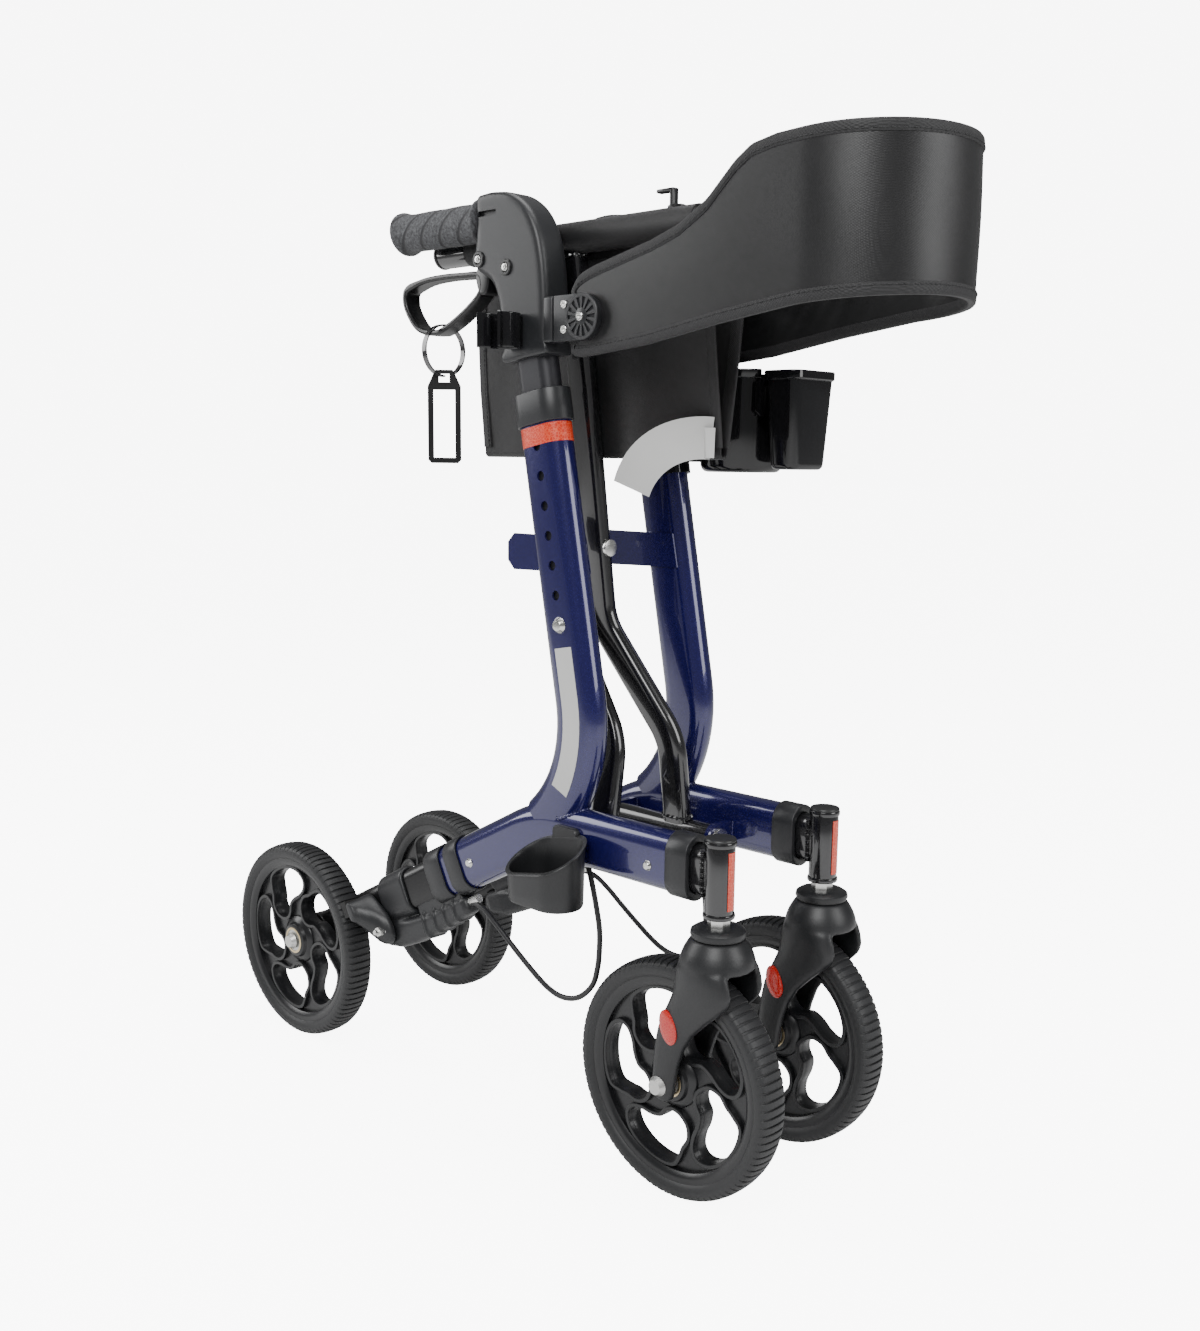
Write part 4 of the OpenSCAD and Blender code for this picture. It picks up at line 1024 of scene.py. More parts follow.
for side, sign in SIDES:
    x = sign * FRAME_X
    flare = []
    for low, high in ((0.2478, 0.2515), (0.3060, 0.3102)):
        rim = [(low, 0.0119), (low, 0.0126), (low + 0.001, 0.0130), (high - 0.001, 0.0130), (high, 0.0126),
               (high, 0.0119)]
        flare.append(spun(rim, (x, HEAD_Y, 0), "Z", 40))
    fit(piece(f"{side}_head_tube_rims", *joined(flare), black_paint), f"{side}_frame", "black_paint")
    cap = [(0.3105, 0.0001), (0.3105, 0.0124), (0.3114, 0.0126), (0.3124, 0.0120), (0.3122, 0.0106),
           (0.3112, 0.0060), (0.3110, 0.0001)]
    fit(piece(f"{side}_head_top_cap", *spun(cap, (x, HEAD_Y, 0), "Z", 40), fork_plastic), f"{side}_fork",
        "grey_plastic")
    skins = []
    for r in (0.0122, 0.0127):
        skins.append([[(x + r * math.sin(a), HEAD_Y - r * math.cos(a), z)
                       for a in np.linspace(-0.33, 0.33, 7)]
                      for z in np.linspace(0.2555, 0.3025, 8)])
    fit(piece(f"{side}_head_reflector", *patch(*skins), red_reflective), f"{side}_frame", "black_rubber")
    coins = []
    for dx in (-1, 1):
        line = [(x + dx * 0.0098, HEAD_Y + 0.0095, z) for z in np.linspace(0.2645, 0.3015, 14)]
        coins.append(bead(line, 0.0021, 0.3, 6, closed=False))
    fit(piece(f"{side}_head_weld", *joined(coins), black_paint, 60), f"{side}_frame", "black_paint")
    band = [up(t) for t in np.linspace(0.2145, 0.2305, 4)]
    rings = side_rings(band, oval(0.0500, 0.0284), x) + side_rings(band, oval(0.0494, 0.0278), x)[::-1]
    fit(piece(f"{side}_upright_band", *loft(rings, loop=True), red_reflective), f"{side}_frame",
        "black_rubber")
label_line = [on_arc(a) for a in np.linspace(208, 169.2, 10)] + [up(t) for t in (0.015, 0.03, 0.045)]
skins = [side_rings(label_line, [(a, -out) for a in (-0.009, -0.004, 0.001, 0.006, 0.0105)], -FRAME_X)
         for out in (0.01385, 0.0142)]
fit(piece("right_upright_label", *patch(*skins), label_white), "right_frame", "strap_fabric")
print("trim made")

# %% [markdown]
# ## Brake cables
# A black cable leaves each upright's tube below the bend, hangs in a loop and ends in the adjuster
# of the rear brake. The visible run is swept on a smooth curve through the CAD's own points.

# %% Cables
CABLE = [(-72, -4, 182), (-73, -22, 191), (-74, -40, 190), (-75, -57, 181), (-75, -75, 169), (-75, -95, 156),
         (-75, -115, 144), (-75, -130, 137), (-75, -145, 134), (-74, -160, 136), (-73, -172, 143),
         (-72, -182, 155), (-72, -187, 170), (-71, -188, 185), (-70, -187, 205), (-70, -182, 228),
         (-70, -175, 252), (-70, -165, 278), (-70, -157, 305), (-70, -157, 335), (-70, -163, 370),
         (-70, -162, 402), (-70, -142, 505), (-70, -123, 605), (-70, -109, 678)]
for side, sign in SIDES:
    line = smooth_line([(-sign * p[0] / 1000, p[1] / 1000, p[2] / 1000) for p in CABLE], 6)
    fit(piece(f"{side}_cable_sheath", *loft(swept(line, 0.0025, 12)), cable_rubber, 60), f"{side}_frame",
        "black_rubber", f"{side}_brake_cable")
    ferrule = [(sign * 0.072, *down_slope(u, -0.034)) for u in (0.118, 0.122, 0.130, 0.138)]
    fit(piece(f"{side}_cable_adjuster", *loft(swept(ferrule, 0.0045, 6)), zinc, 25), f"{side}_frame", "zinc")
print("cables made")

# %% [markdown]
# ## Grips
# A grip is a foam sleeve with a wound look: a mottled grey surface with slanting seams, a flange at
# the housing and a swelling at the far end. It is one turned profile; the winding is in the material.

# %% Grips
GRIP_Y, GRIP_Z, GRIP_LEN = -0.046, 0.79989, 0.113
grip_profile = [(0, 11.3), (0, 17.6), (1, 19.2), (3.6, 19.4), (5.4, 17.8), (7, 16.2), (14, 16.0), (30, 16.5),
                (50, 16.1), (72, 16.5), (92, 16.1), (101, 16.6), (106, 18.2), (109, 19.0), (111.6, 18.8),
                (112.8, 17.0), (113, 12), (113, 0.1), (109.8, 0.1), (109.8, 11.3)]
for side, sign in SIDES:
    dense = []
    for (h0, r0), (h1, r1) in zip(grip_profile, grip_profile[1:]):
        steps = max(1, int(abs(h1 - h0) / 4))
        dense += [(h0 + (h1 - h0) * k / steps, r0 + (r1 - r0) * k / steps) for k in range(steps)]
    dense.append(grip_profile[-1])
    points, faces = turned([(h / 1000, r / 1000) for h, r in dense], 48)
    sleeve = []
    for h, b, c in points:
        lean = 0.10 * c if h > 0.1 and math.hypot(b, c) > 0.012 else 0.0
        sleeve.append((sign * FRAME_X + b, GRIP_Y + min(h + lean, GRIP_LEN), GRIP_Z + c))
    fit(piece(f"{side}_grip_sleeve", sleeve, faces, grip_cover, 50), f"{side}_handle", "grip_rubber",
        f"{side}_grip")
print("grips made")

# %% [markdown]
# ## Back strap
# The strap is a stiff padded band: a smooth outer cloth, a softer lining, and woven tape bound and
# stitched round its edge. It is flat webbing rather than a cushion, so it is modelled directly: a
# grid follows the U in plan, its height comes from two edge lines, and small waves loosen the lining.

# %% Strap shape
STRAP_X, STRAP_BACK, STRAP_BEND = 0.079, -0.160, -0.380
LOW_EDGE = [(-0.160, 0.682), (-0.240, 0.690), (-0.312, 0.702), (-0.377, 0.7108), (-0.446, 0.7160),
            (-0.459, 0.7175)]
HIGH_EDGE = [(-0.160, 0.7435), (-0.185, 0.751), (-0.244, 0.7645), (-0.272, 0.7735), (-0.298, 0.788),
             (-0.311, 0.800), (-0.323, 0.811), (-0.338, 0.8205), (-0.360, 0.8245), (-0.400, 0.8265),
             (-0.459, 0.8285)]


def edge_height(table, y):
    ys = [-p[0] for p in table]
    return float(np.interp(-y, ys, [p[1] for p in table]))


def strap_plan(s):
    """Place and outward direction in plan at a distance s from the right end."""
    straight = STRAP_BACK - STRAP_BEND
    bend = math.pi * STRAP_X
    if s < straight:
        return (-STRAP_X, STRAP_BACK - s), (-1.0, 0.0)
    if s > straight + bend:
        return (STRAP_X, STRAP_BEND + s - straight - bend), (1.0, 0.0)
    a = math.pi + (s - straight) / STRAP_X
    return (STRAP_X * math.cos(a), STRAP_BEND + STRAP_X * math.sin(a)), (math.cos(a), math.sin(a))


STRAP_LEN = 2 * (STRAP_BACK - STRAP_BEND) + math.pi * STRAP_X


def strap_point(s, v, out):
    (px, py), (nx, ny) = strap_plan(s)
    low, high = edge_height(LOW_EDGE, py), edge_height(HIGH_EDGE, py)
    end = min(s, STRAP_LEN - s)
    trim = 0.010 * math.exp(-end / 0.004)
    low, high = low + trim * 0.5, high - trim
    return (px + nx * out, py + ny * out, low + (high - low) * v)


# %% Strap cloth
def strap_shell(count=170, rows=20):
    rings = []
    for i in range(count + 1):
        s = STRAP_LEN * i / count
        ring = []
        for j in range(rows + 1):
            v = j / rows
            puff = 0.0010 * math.sin(math.pi * v) ** 0.6 if 0 < v < 1 else 0.0
            wave = 0.0003 * math.sin(s * 46 + v * 5) * math.sin(math.pi * v)
            ring.append(strap_point(s, v, 0.0021 + puff + wave))
        for j in range(rows, -1, -1):
            v = j / rows
            fold = (0.0007 * math.sin(s * 150 + 3 * math.sin(v * 7))
                    + 0.0005 * math.sin(s * 310 + v * 21)) * math.sin(math.pi * v)
            ring.append(strap_point(s, v, -0.0021 - 0.0008 * math.sin(math.pi * v) + fold))
        rings.append(ring)
    points, faces = loft(rings)
    ob = piece("back_strap_cloth", points, faces, strap_fabric, 40, (lining,))
    for f in ob.data.polygons:
        (px, py, pz), n = f.center, f.normal
        out = Vector((px, py + 0.38, 0)) if py < STRAP_BEND else Vector((px, 0, 0))
        f.material_index = 1 if n.dot(out.normalized()) < -0.3 else 0
    return ob


def edge_line(step=0.004):
    """Closed line round the strap: (s, v) pairs."""
    n = int(STRAP_LEN / step)
    line = [(STRAP_LEN * i / n, 0.0) for i in range(n + 1)]
    line += [(STRAP_LEN, v) for v in np.linspace(0.07, 0.93, 14)]
    line += [(STRAP_LEN * (n - i) / n, 1.0) for i in range(n + 1)]
    line += [(0.0, v) for v in np.linspace(0.93, 0.07, 14)]
    return line


def inward(line, i):
    s, v = line[i]
    if v == 0.0:
        return Vector((0, 0, 1))
    if v == 1.0:
        return Vector((0, 0, -1))
    return Vector((0, -1, 0))


def strap_binding():
    line = edge_line()
    rings = []
    for i, (s, v) in enumerate(line):
        base = Vector(strap_point(s, v, 0.0))
        _, (nx, ny) = strap_plan(s)
        out, into = Vector((nx, ny, 0)), inward(line, i)
        if (s, v) in ((0.0, 0.0), (STRAP_LEN, 0.0)):
            into = Vector((0, -1, 1))
        if (s, v) in ((0.0, 1.0), (STRAP_LEN, 1.0)):
            into = Vector((0, -1, -1))
        rib = 0.00018 * math.sin(i * 2.2)
        shape = [(0.0, -0.0011), (0.0022, -0.0009), (0.0031, 0.0005), (0.0034 + rib, 0.0030),
                 (0.0034 + rib, 0.0068), (0.0029, 0.0079), (0.0019, 0.0079), (-0.0019, 0.0079),
                 (-0.0029, 0.0079), (-0.0034 - rib, 0.0068), (-0.0034 - rib, 0.0030), (-0.0031, 0.0005),
                 (-0.0022, -0.0009)]
        rings.append([tuple(base + out * a + into * b) for a, b in shape])
    points, faces = loft(rings, loop=True)
    return piece("back_strap_binding", points, faces, binding, 50)


# %% Stitches along a line, with Geometry Nodes
def stitch_tree():
    tree = bpy.data.node_groups.new("stitches_on_line", "GeometryNodeTree")
    for key, kind in (("Line", "NodeSocketObject"), ("Stitch", "NodeSocketObject"),
                      ("Spacing", "NodeSocketFloat"),
                      ("Finish", "NodeSocketMaterial")):
        tree.interface.new_socket(name=key, in_out="INPUT", socket_type=kind)
    tree.interface.new_socket(name="Geometry", in_out="OUTPUT", socket_type="NodeSocketGeometry")
    gin, gout = tree.nodes.new("NodeGroupInput"), tree.nodes.new("NodeGroupOutput")
    line, stitch = tree.nodes.new("GeometryNodeObjectInfo"), tree.nodes.new("GeometryNodeObjectInfo")
    to_curve = tree.nodes.new("GeometryNodeMeshToCurve")
    points = tree.nodes.new("GeometryNodeCurveToPoints")
    points.mode = "LENGTH"
    place = tree.nodes.new("GeometryNodeInstanceOnPoints")
    real = tree.nodes.new("GeometryNodeRealizeInstances")
    paint = tree.nodes.new("GeometryNodeSetMaterial")
    link = tree.links.new
    link(gin.outputs["Line"], line.inputs["Object"])
    link(gin.outputs["Stitch"], stitch.inputs["Object"])
    link(line.outputs["Geometry"], to_curve.inputs[0])
    link(to_curve.outputs[0], points.inputs["Curve"])
    link(gin.outputs["Spacing"], points.inputs["Length"])
    link(points.outputs["Points"], place.inputs["Points"])
    link(points.outputs["Rotation"], place.inputs["Rotation"])
    link(stitch.outputs["Geometry"], place.inputs["Instance"])
    link(place.outputs[0], real.inputs[0])
    link(real.outputs[0], paint.inputs["Geometry"])
    link(gin.outputs["Finish"], paint.inputs["Material"])
    link(paint.outputs[0], gout.inputs[0])
    return tree


def stitches(name, lines, spacing=0.0042, closed=False):
    verts, edges = [], []
    for line in lines:
        start = len(verts)
        verts += [tuple(p) for p in line]
        edges += [(start + i, start + i + 1) for i in range(len(line) - 1)]
        if closed:
            edges.append((start + len(line) - 1, start))
    mesh = bpy.data.meshes.new(name + "_line")
    mesh.from_pydata(verts, edges, [])
    line_ob = bpy.data.objects.new(name + "_line", mesh)
    bpy.context.collection.objects.link(line_ob)
    rings = [[(0.00042 * k * math.cos(a), 0.00042 * k * math.sin(a), z) for a in around(6)]
             for z, k in ((-0.0015, 0.3), (-0.0012, 0.9), (0.0, 1.0), (0.0012, 0.9), (0.0015, 0.3))]
    stitch = piece(name + "_one", *loft(rings), thread)
    ob = run_tree(name, tree_stitch, 60, Line=line_ob, Stitch=stitch, Spacing=spacing, Finish=thread)
    bpy.data.objects.remove(line_ob)
    bpy.data.objects.remove(stitch)
    return ob


tree_stitch = stitch_tree()
strap_cloth = strap_shell()
strap_edge = strap_binding()
offset = 0.0058
top_line, low_line = [], []
for i in range(200):
    s = 0.008 + (STRAP_LEN - 0.016) * i / 199
    height = strap_point(s, 1, 0)[2] - strap_point(s, 0, 0)[2]
    low_line.append(strap_point(s, offset / height, 0.0036))
    top_line.append(strap_point(s, 1 - offset / height, 0.0036))
strap_thread = stitches("back_strap_stitches", [low_line, top_line], 0.0040)
for ob in (strap_cloth, strap_edge, strap_thread):
    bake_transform(ob)
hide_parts("right_back_strap", "left_back_strap")
print("strap length", round(STRAP_LEN, 3), "m, stitches' points", len(strap_thread.data.vertices))

# %% [markdown]
# ## Strap clamps
# Each end of the strap is clamped between a plate and its block, with a slotted rosette and three
# screws. The ribs of the rosette are one small block at equal turns, so Geometry Nodes repeat it.

# %% Rosettes and screws
def hex_screw(x, sign, y, z, r):
    rings = []
    for h, k, n in ((0.0, 1.0, 6), (0.0016, 1.0, 6), (0.0020, 0.86, 6), (0.0020, 0.45, 6), (0.0008, 0.42, 6)):
        rings.append([(x + sign * h, y + r * k * math.cos(a), z + r * k * math.sin(a))
                      for a in around(24)])
    return loft(rings)


for side, sign in SIDES:
    cy, cz = -0.177, 0.713
    rim = [(0.0868, 0.0150), (0.0868, 0.0182), (0.0880, 0.0182), (0.0886, 0.0176), (0.0886, 0.0156),
           (0.0880, 0.0150)]
    core = [(0.0868, 0.0002), (0.0868, 0.0066), (0.0884, 0.0066), (0.0888, 0.0058), (0.0888, 0.0002)]
    rosette = [spun([(sign * h, r) for h, r in profile], (0, cy, cz), steps=n) for profile,
               n in ((rim, 56), (core, 40))]
    fit(piece(f"{side}_rosette_rings", *joined(rosette), grey_plastic), f"{side}_strap", "grey_plastic")
    rings = [[(sign * 0.0867, -0.0013 * k, r), (sign * 0.0867, 0.0013 * k, r), (sign * 0.0883, 0.0010 * k, r),
              (sign * 0.0883, -0.0010 * k, r)] for r, k in ((0.0064, 0.8), (0.0152, 1.5))]
    rib = piece("rosette_rib", *loft(rings), grey_plastic)
    ob = run_tree(f"{side}_rosette_ribs", tree_ring, 30, Piece=rib, Count=14, Centre=(0.0, cy, cz),
                  Finish=grey_plastic)
    bpy.data.objects.remove(rib)
    fit(ob, f"{side}_strap", "grey_plastic")
    screws = [hex_screw(sign * 0.0888, sign, cy, cz, 0.0035),
              hex_screw(sign * 0.0870, sign, -0.1575, 0.7235, 0.0033),
              hex_screw(sign * 0.0870, sign, -0.1575, 0.7040, 0.0033)]
    fit(piece(f"{side}_clamp_screws", *joined(screws), zinc, 30), f"{side}_strap", "zinc")
print("clamps made")

# %% [markdown]
# ## Seat cloth
# The seat is a sling of woven nylon with a channel sewn round each rail. Folded, it hangs between
# the braces like a pocket. It is one sheet, built as a strip that wraps the right rail, goes down,
# turns under and comes up round the left rail, with small folds where slack cloth gathers.

# %% Seat sling
RAIL_X, RAIL_Z, RAIL_WRAP = 0.0352, 0.7839, 0.0124
SEAT_LOW = 0.6035
# Half the pocket's width and its height, from the bottom up
WALL = [(0.0040, 0.6090), (0.0052, 0.6200), (0.0078, 0.6380), (0.0118, 0.6650), (0.0158, 0.6950),
        (0.0196, 0.7250), (0.0230, 0.7520), (0.0262, 0.7690)]


def sling_section():
    """Middle line of the cloth from the right rail to the left one, as (x, z), with a place 0..1."""
    under = [(0.0040 * math.cos(a), SEAT_LOW + 0.004 + 0.0042 * math.sin(a))
             for a in np.radians(np.arange(195, 346, 25))]
    half = [(-RAIL_X + RAIL_WRAP * math.cos(a), RAIL_Z + RAIL_WRAP * math.sin(a))
            for a in np.radians(np.arange(330, -7, -12))]
    half += [(-px, pz) for px, pz in reversed(WALL)]
    line = half + under + [(-px, pz) for px, pz in reversed(half)]
    return [np.array(p) for p in line]


def half_width(z, table):
    return float(np.interp(z, [p[1] for p in table], [p[0] for p in table]))


def rear_edge(z):
    return float(np.interp(z, [0.60, 0.66, 0.72, 0.77, 0.80], [0.0335, 0.0300, 0.0240, 0.0130, 0.0120]))


def seat_sheet():
    line = sling_section()
    t = np.gradient(np.array(line), axis=0)
    t /= np.linalg.norm(t, axis=1)[:, None]
    along, rings = 64, []
    for i, (p, d) in enumerate(zip(line, t)):
        n = np.array([-d[1], d[0]])
        ring = []
        for side_of in (1, -1):
            order = range(along + 1) if side_of == 1 else range(along, -1, -1)
            for k in order:
                y = -0.254 + (rear_edge(p[1]) + 0.254) * k / along
                loose = abs(p[0]) < 0.0265 and p[1] < 0.7685
                depth = max(0.0, min(1.0, (0.768 - p[1]) / 0.06)) if loose else 0.0
                fold = depth * (0.0011 * math.sin(y * 52 + p[1] * 23)
                                + 0.0007 * math.sin(y * 121 + p[1] * 61 + p[0] * 90))
                fold *= math.sin(math.pi * min(1, max(0, k / along))) ** 0.5
                q = p + n * (side_of * 0.0006) + np.array([fold if p[0] < 0 else -fold, 0.0])
                ring.append((q[0], y, q[1]))
        rings.append(ring)
    points, faces = loft(rings)
    ob = piece("seat_sling", points, faces, seat_nylon, 50)
    length = float(sum(np.linalg.norm(a - b) for a, b in zip(line, line[1:])))
    return ob, length


seat_piece, sling_length = seat_sheet()
tape_parts = []
for s in (-1, 1):
    for front in (True, False):
        into = 1 if front else -1
        rings = []
        for z in np.linspace(0.612, 0.764, 26):
            px = half_width(z, WALL)
            y = -0.2545 if front else rear_edge(z)
            rings.append([(s * px + s * a, y + into * b, z) for a, b in
                          ((0.0010, -0.0009), (0.0019, 0.0), (0.0019, 0.009), (0.0010, 0.0096),
                           (-0.0012, 0.0096), (-0.0016, 0.009), (-0.0016, 0.0), (-0.0010, -0.0009))])
        tape_parts.append(loft(rings))
seat_tape = piece("seat_binding", *joined(tape_parts), binding, 50)
seams = []
seam_wall = [WALL[i] for i in (0, 2, 4, 6, 7)]
for s in (-1, 1):
    for front in (True, False):
        seams.append([(s * (half_width(z, seam_wall) + 0.0021), -0.2475 if front else rear_edge(z) - 0.007, z)
                      for z in np.linspace(0.614, 0.762, 30)])
    seams.append([(s * 0.0262, y, 0.7662) for y in np.linspace(-0.246, 0.006, 40)])
seat_thread = stitches("seat_stitches", seams, 0.0042)
for ob in (seat_piece, seat_tape, seat_thread):
    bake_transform(ob)
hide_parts("seat_cloth")
print("sling", round(sling_length, 3), "m along by 0.285 m")

# %% [markdown]
# ## Care labels
# Two narrow white labels are sewn into the lower front seam of the seat and curl away from it. They
# stay blank. Each is a curved strip with a little thickness.

# %% Blank care labels
def care_label(top, radius, width, low, high, away):
    """Part of a flat ring that stands on the line away from the seam, between two angles."""
    d = Vector(away).normalized()
    mid = Vector(top) - Vector((0, 0, radius))
    rings = []
    for k in range(17):
        a = math.radians(low + (high - low) * k / 16)
        ray = Vector((0, 0, math.sin(a))) - d * math.cos(a)
        curl = Vector((-0.006 * math.sin(3.1 * k / 16), 0, 0))
        side_ray = Vector((-d.y, d.x, 0)) * 0.00018
        outer, inner = mid + ray * radius + curl, mid + ray * (radius - width) + curl * 0.4
        rings.append([tuple(q + side_ray * s) for s,
                      q in ((1, outer), (1, (outer + inner) / 2), (1, inner), (-1, inner),
                            (-1, (outer + inner) / 2), (-1, outer))])
    return loft(rings)


labels = [care_label((-0.0135, -0.2435, 0.637), 0.084, 0.034, 84, 158, (-0.36, 0.93, 0)),
          care_label((-0.0125, -0.2490, 0.628), 0.200, 0.024, 88.6, 91.4, (-0.2, 1.0, 0))]
fit(piece("seat_care_labels", *joined(labels), label_white, 60), "brace_b", "cloth")
print("labels made")

# %% [markdown]
# ## Soft-edged mouldings
# The handle housing, levers, cups and clip are thin-walled or rounded mouldings with flowing
# outlines. A smooth outline is laid at several depths, each a little smaller near the two faces, so
# the edge between face and side turns over in a real radius.

# %% Outlines and soft slabs
def even(outline, n):
    """The same closed line with n evenly spaced points."""
    pts = np.array(list(outline) + [outline[0]], float)
    run = np.concatenate([[0], np.cumsum(np.linalg.norm(np.diff(pts, axis=0), axis=1))])
    at = np.linspace(0, run[-1], n + 1)[:-1]
    return np.column_stack([np.interp(at, run, pts[:, 0]), np.interp(at, run, pts[:, 1])])


def soft_slab(outline, x, half, radius, n=150):
    """Slab across the side plane with rounded edges; outline in millimetres of (y, z)."""
    line = even(outline, n)
    rings = []
    steps = [(math.sin(a), 1 - math.cos(a)) for a in np.radians([90, 68, 45, 22, 0])]
    for side in (-1, 1):
        for out, inset in (steps if side < 0 else steps[::-1]):
            flat = shrunk(line, inset * radius)
            rings.append([(x + side * (half - radius + radius * out) / 1000, y / 1000, z / 1000) for y,
                          z in flat])
    return loft(rings)


def carve(ob, cutters, material, angle=40):
    tool = piece("cutter", *joined(cutters), black_plastic)
    boolean = ob.modifiers.new("cut", "BOOLEAN")
    boolean.operation, boolean.solver, boolean.object = "DIFFERENCE", "EXACT", tool
    settle(ob, angle)
    bpy.data.objects.remove(tool)
    ob.data.materials.clear()
    ob.data.materials.append(material)
    return ob


def block(a, b):
    x0, y0, z0, x1, y1, z1 = (f(p, q) for f in (min, max) for p, q in zip(a, b))
    return loft([[(x0, y0, z), (x1, y0, z), (x1, y1, z), (x0, y1, z)] for z in (z0, z1)])


# %% [markdown]
# ## Handle housings
# Seen from the side a housing is a hooked hood: round over the grip's root, straight down the front,
# with a flared lip at its foot. It has a flat slot near the top and a deep one for the lever.

# %% Housings
hood = closed_curve([(-132, 689.5), (-132.6, 703), (-131.4, 737), (-128.5, 762), (-122, 785), (-109.5, 804),
                     (-91, 816.4), (-71, 820.2), (-53, 820.0), (-46.8, 817.4), (-46.3, 800), (-46.3, 786),
                     (-44.5, 776), (-43.4, 767), (-46.5, 759), (-56, 753.5), (-67, 746), (-74, 731),
                     (-77.4, 712), (-80, 694), (-83, 684.9), (-106, 686.6)])
lip = closed_curve([(-133.8, 687.6), (-133.8, 693.5), (-130, 696.5), (-106, 693), (-84, 690), (-79.6, 687),
                    (-80.2, 682), (-84, 680.6), (-106, 683.6), (-130, 686)])
screw_ring = [(0.0146, 0.0034), (0.0146, 0.0067), (0.0164, 0.0067), (0.0172, 0.0061), (0.0172, 0.0044),
              (0.0162, 0.0034)]
screw_head = [(0.0146, 0.0001), (0.0146, 0.0033), (0.0170, 0.0033), (0.0178, 0.0027), (0.0180, 0.0014),
              (0.0172, 0.0012), (0.0172, 0.0001)]
SCREWS = ((-0.052, 0.76689), (-0.086, 0.75789))
for side, sign in SIDES:
    x = sign * FRAME_X
    parts = [soft_slab(hood, x, 15.4, 5.0), soft_slab(lip, x, 16.0, 1.4, 120)]
    ob = melted(f"{side}_grip_housing", parts, 0.0013, 0.5, grey_plastic, 16)
    carve(ob, [block((x - 0.0093, -0.061, 0.7349), (x + 0.0093, -0.040, 0.7759)),
               block((x + sign * 0.0118, -0.0735, 0.8010), (x + sign * 0.03, -0.0510, 0.8056))], grey_plastic)
    fit(ob, f"{side}_handle", "grey_plastic", f"{side}_handle_housing")
    rings, heads = [], []
    for y, z in SCREWS:
        for s in (-1, 1):
            rings.append(spun([(s * h, r) for h, r in screw_ring], (x, y, z), steps=32))
            heads.append(spun([(s * h, r) for h, r in screw_head], (x, y, z), steps=24))
    pin = [(-0.0145, 0.0001), (-0.0145, 0.0029), (0.0145, 0.0029), (0.0145, 0.0001)]
    heads.append(spun(pin, (x, *SCREWS[0]), steps=24))
    fit(piece(f"{side}_housing_screw_rings", *joined(rings), black_plastic), f"{side}_handle",
        "black_plastic")
    fit(piece(f"{side}_housing_screws", *joined(heads), zinc), f"{side}_handle", "zinc",
        f"{side}_handle_screws")
print("housings made")

# %% [markdown]
# ## Brake levers
# The lever is a closed finger loop of one thickness all round, drawn as a flat rounded section that
# runs along a smooth line. Its root goes into the housing's slot, round the pivot.

# %% Levers
LEVER_Y, LEVER_Z = -52.0, 759.39
loop_line = even(closed_curve([(12, -3.0), (30, -2.2), (55, -1.6), (80, -2.6), (98, -5.6), (108.5, -9),
                               (111.5, -15), (109, -26), (97, -41), (84, -47), (70, -48.3), (62, -47.6),
                               (44, -40.5), (24, -30), (9, -19), (6.5, -9)]), 120)
root = closed_curve([(-5, 12), (0, 13.2), (4.5, 12), (9, 4), (12.6, -2), (12, -10), (8, -19), (2, -20),
                     (-2, -17), (-5, -6), (-6, 4)])
for side, sign in SIDES:
    x = sign * FRAME_X
    rings = []
    t = np.roll(loop_line, -1, axis=0) - np.roll(loop_line, 1, axis=0)
    t /= np.linalg.norm(t, axis=1)[:, None]
    for (u, v), (tu, tv) in zip(loop_line, t):
        thick = 5.0 + 1.4 * math.exp(-((u - 104) / 9) ** 2) * (1 if v > -20 else 0.3)
        rings.append([(x + b / 1000, (LEVER_Y + u - a * tv) / 1000, (LEVER_Z + v + a * tu) / 1000)
                      for a, b in round_box(thick, 17.6, 2.1)])
    parts = [loft(rings, loop=True),
             soft_slab([(LEVER_Y + u, LEVER_Z + v) for u, v in root], x, 8.7, 1.6, 80)]
    fit(piece(f"{side}_lever_loop", *joined(parts), black_plastic), f"{side}_lever", "black_plastic",
        f"{side}_brake_lever")
print("levers made")

# %% [markdown]
# ## Cane clip and cane cup
# The clip is a springy C with lips that flare outwards. The cup is a thin-walled oval pocket whose
# rim slopes down away from the tube, and a small block joins it to the tube.

# %% Clip and cup
clip_out = [(13.9 * math.cos(a), 13.9 * math.sin(a)) for a in np.radians(np.linspace(-136, 136, 40))]
clip_in = [(11.0 * math.cos(a), 11.0 * math.sin(a)) for a in np.radians(np.linspace(136, -136, 40))]
section = clip_out + [(-14.4, 12.6), (-17.0, 14.6), (-18.4, 12.6), (-14.6, 9.4)] + clip_in
section += [(-14.6, -9.4), (-18.4, -12.6), (-17.0, -14.6), (-14.4, -12.6)]
rings = []
for z, k in ((691.4, 0.5), (691.9, 0.15), (692.6, 0.0), (718.2, 0.0), (718.9, 0.15), (719.4, 0.5)):
    flat = shrunk(section, k * 0.8)
    rings.append([(-0.0986 + a / 1000, -0.098 + b / 1000, z / 1000) for a, b in flat])
foot = block((-0.0878, -0.1065, 0.6935), (-0.0846, -0.0895, 0.7165))
fit(piece("cane_spring_clip", *joined([loft(rings), foot]), gloss_plastic, 30), "right_handle",
    "black_plastic", "cane_clip")


def cup_ring(deep, wide, low, share):
    """One ring of the cup: share 0 lies flat at the bottom, 1 lies in the sloping plane of the rim."""
    ring = []
    for a, b in oval(deep / 1000, wide / 1000, 16):
        rim = 0.2740 + b * math.tan(math.radians(28)) - a * 0.2
        ring.append((-0.110 + b, -0.162 + a, low + (rim - low) * share))
    return ring


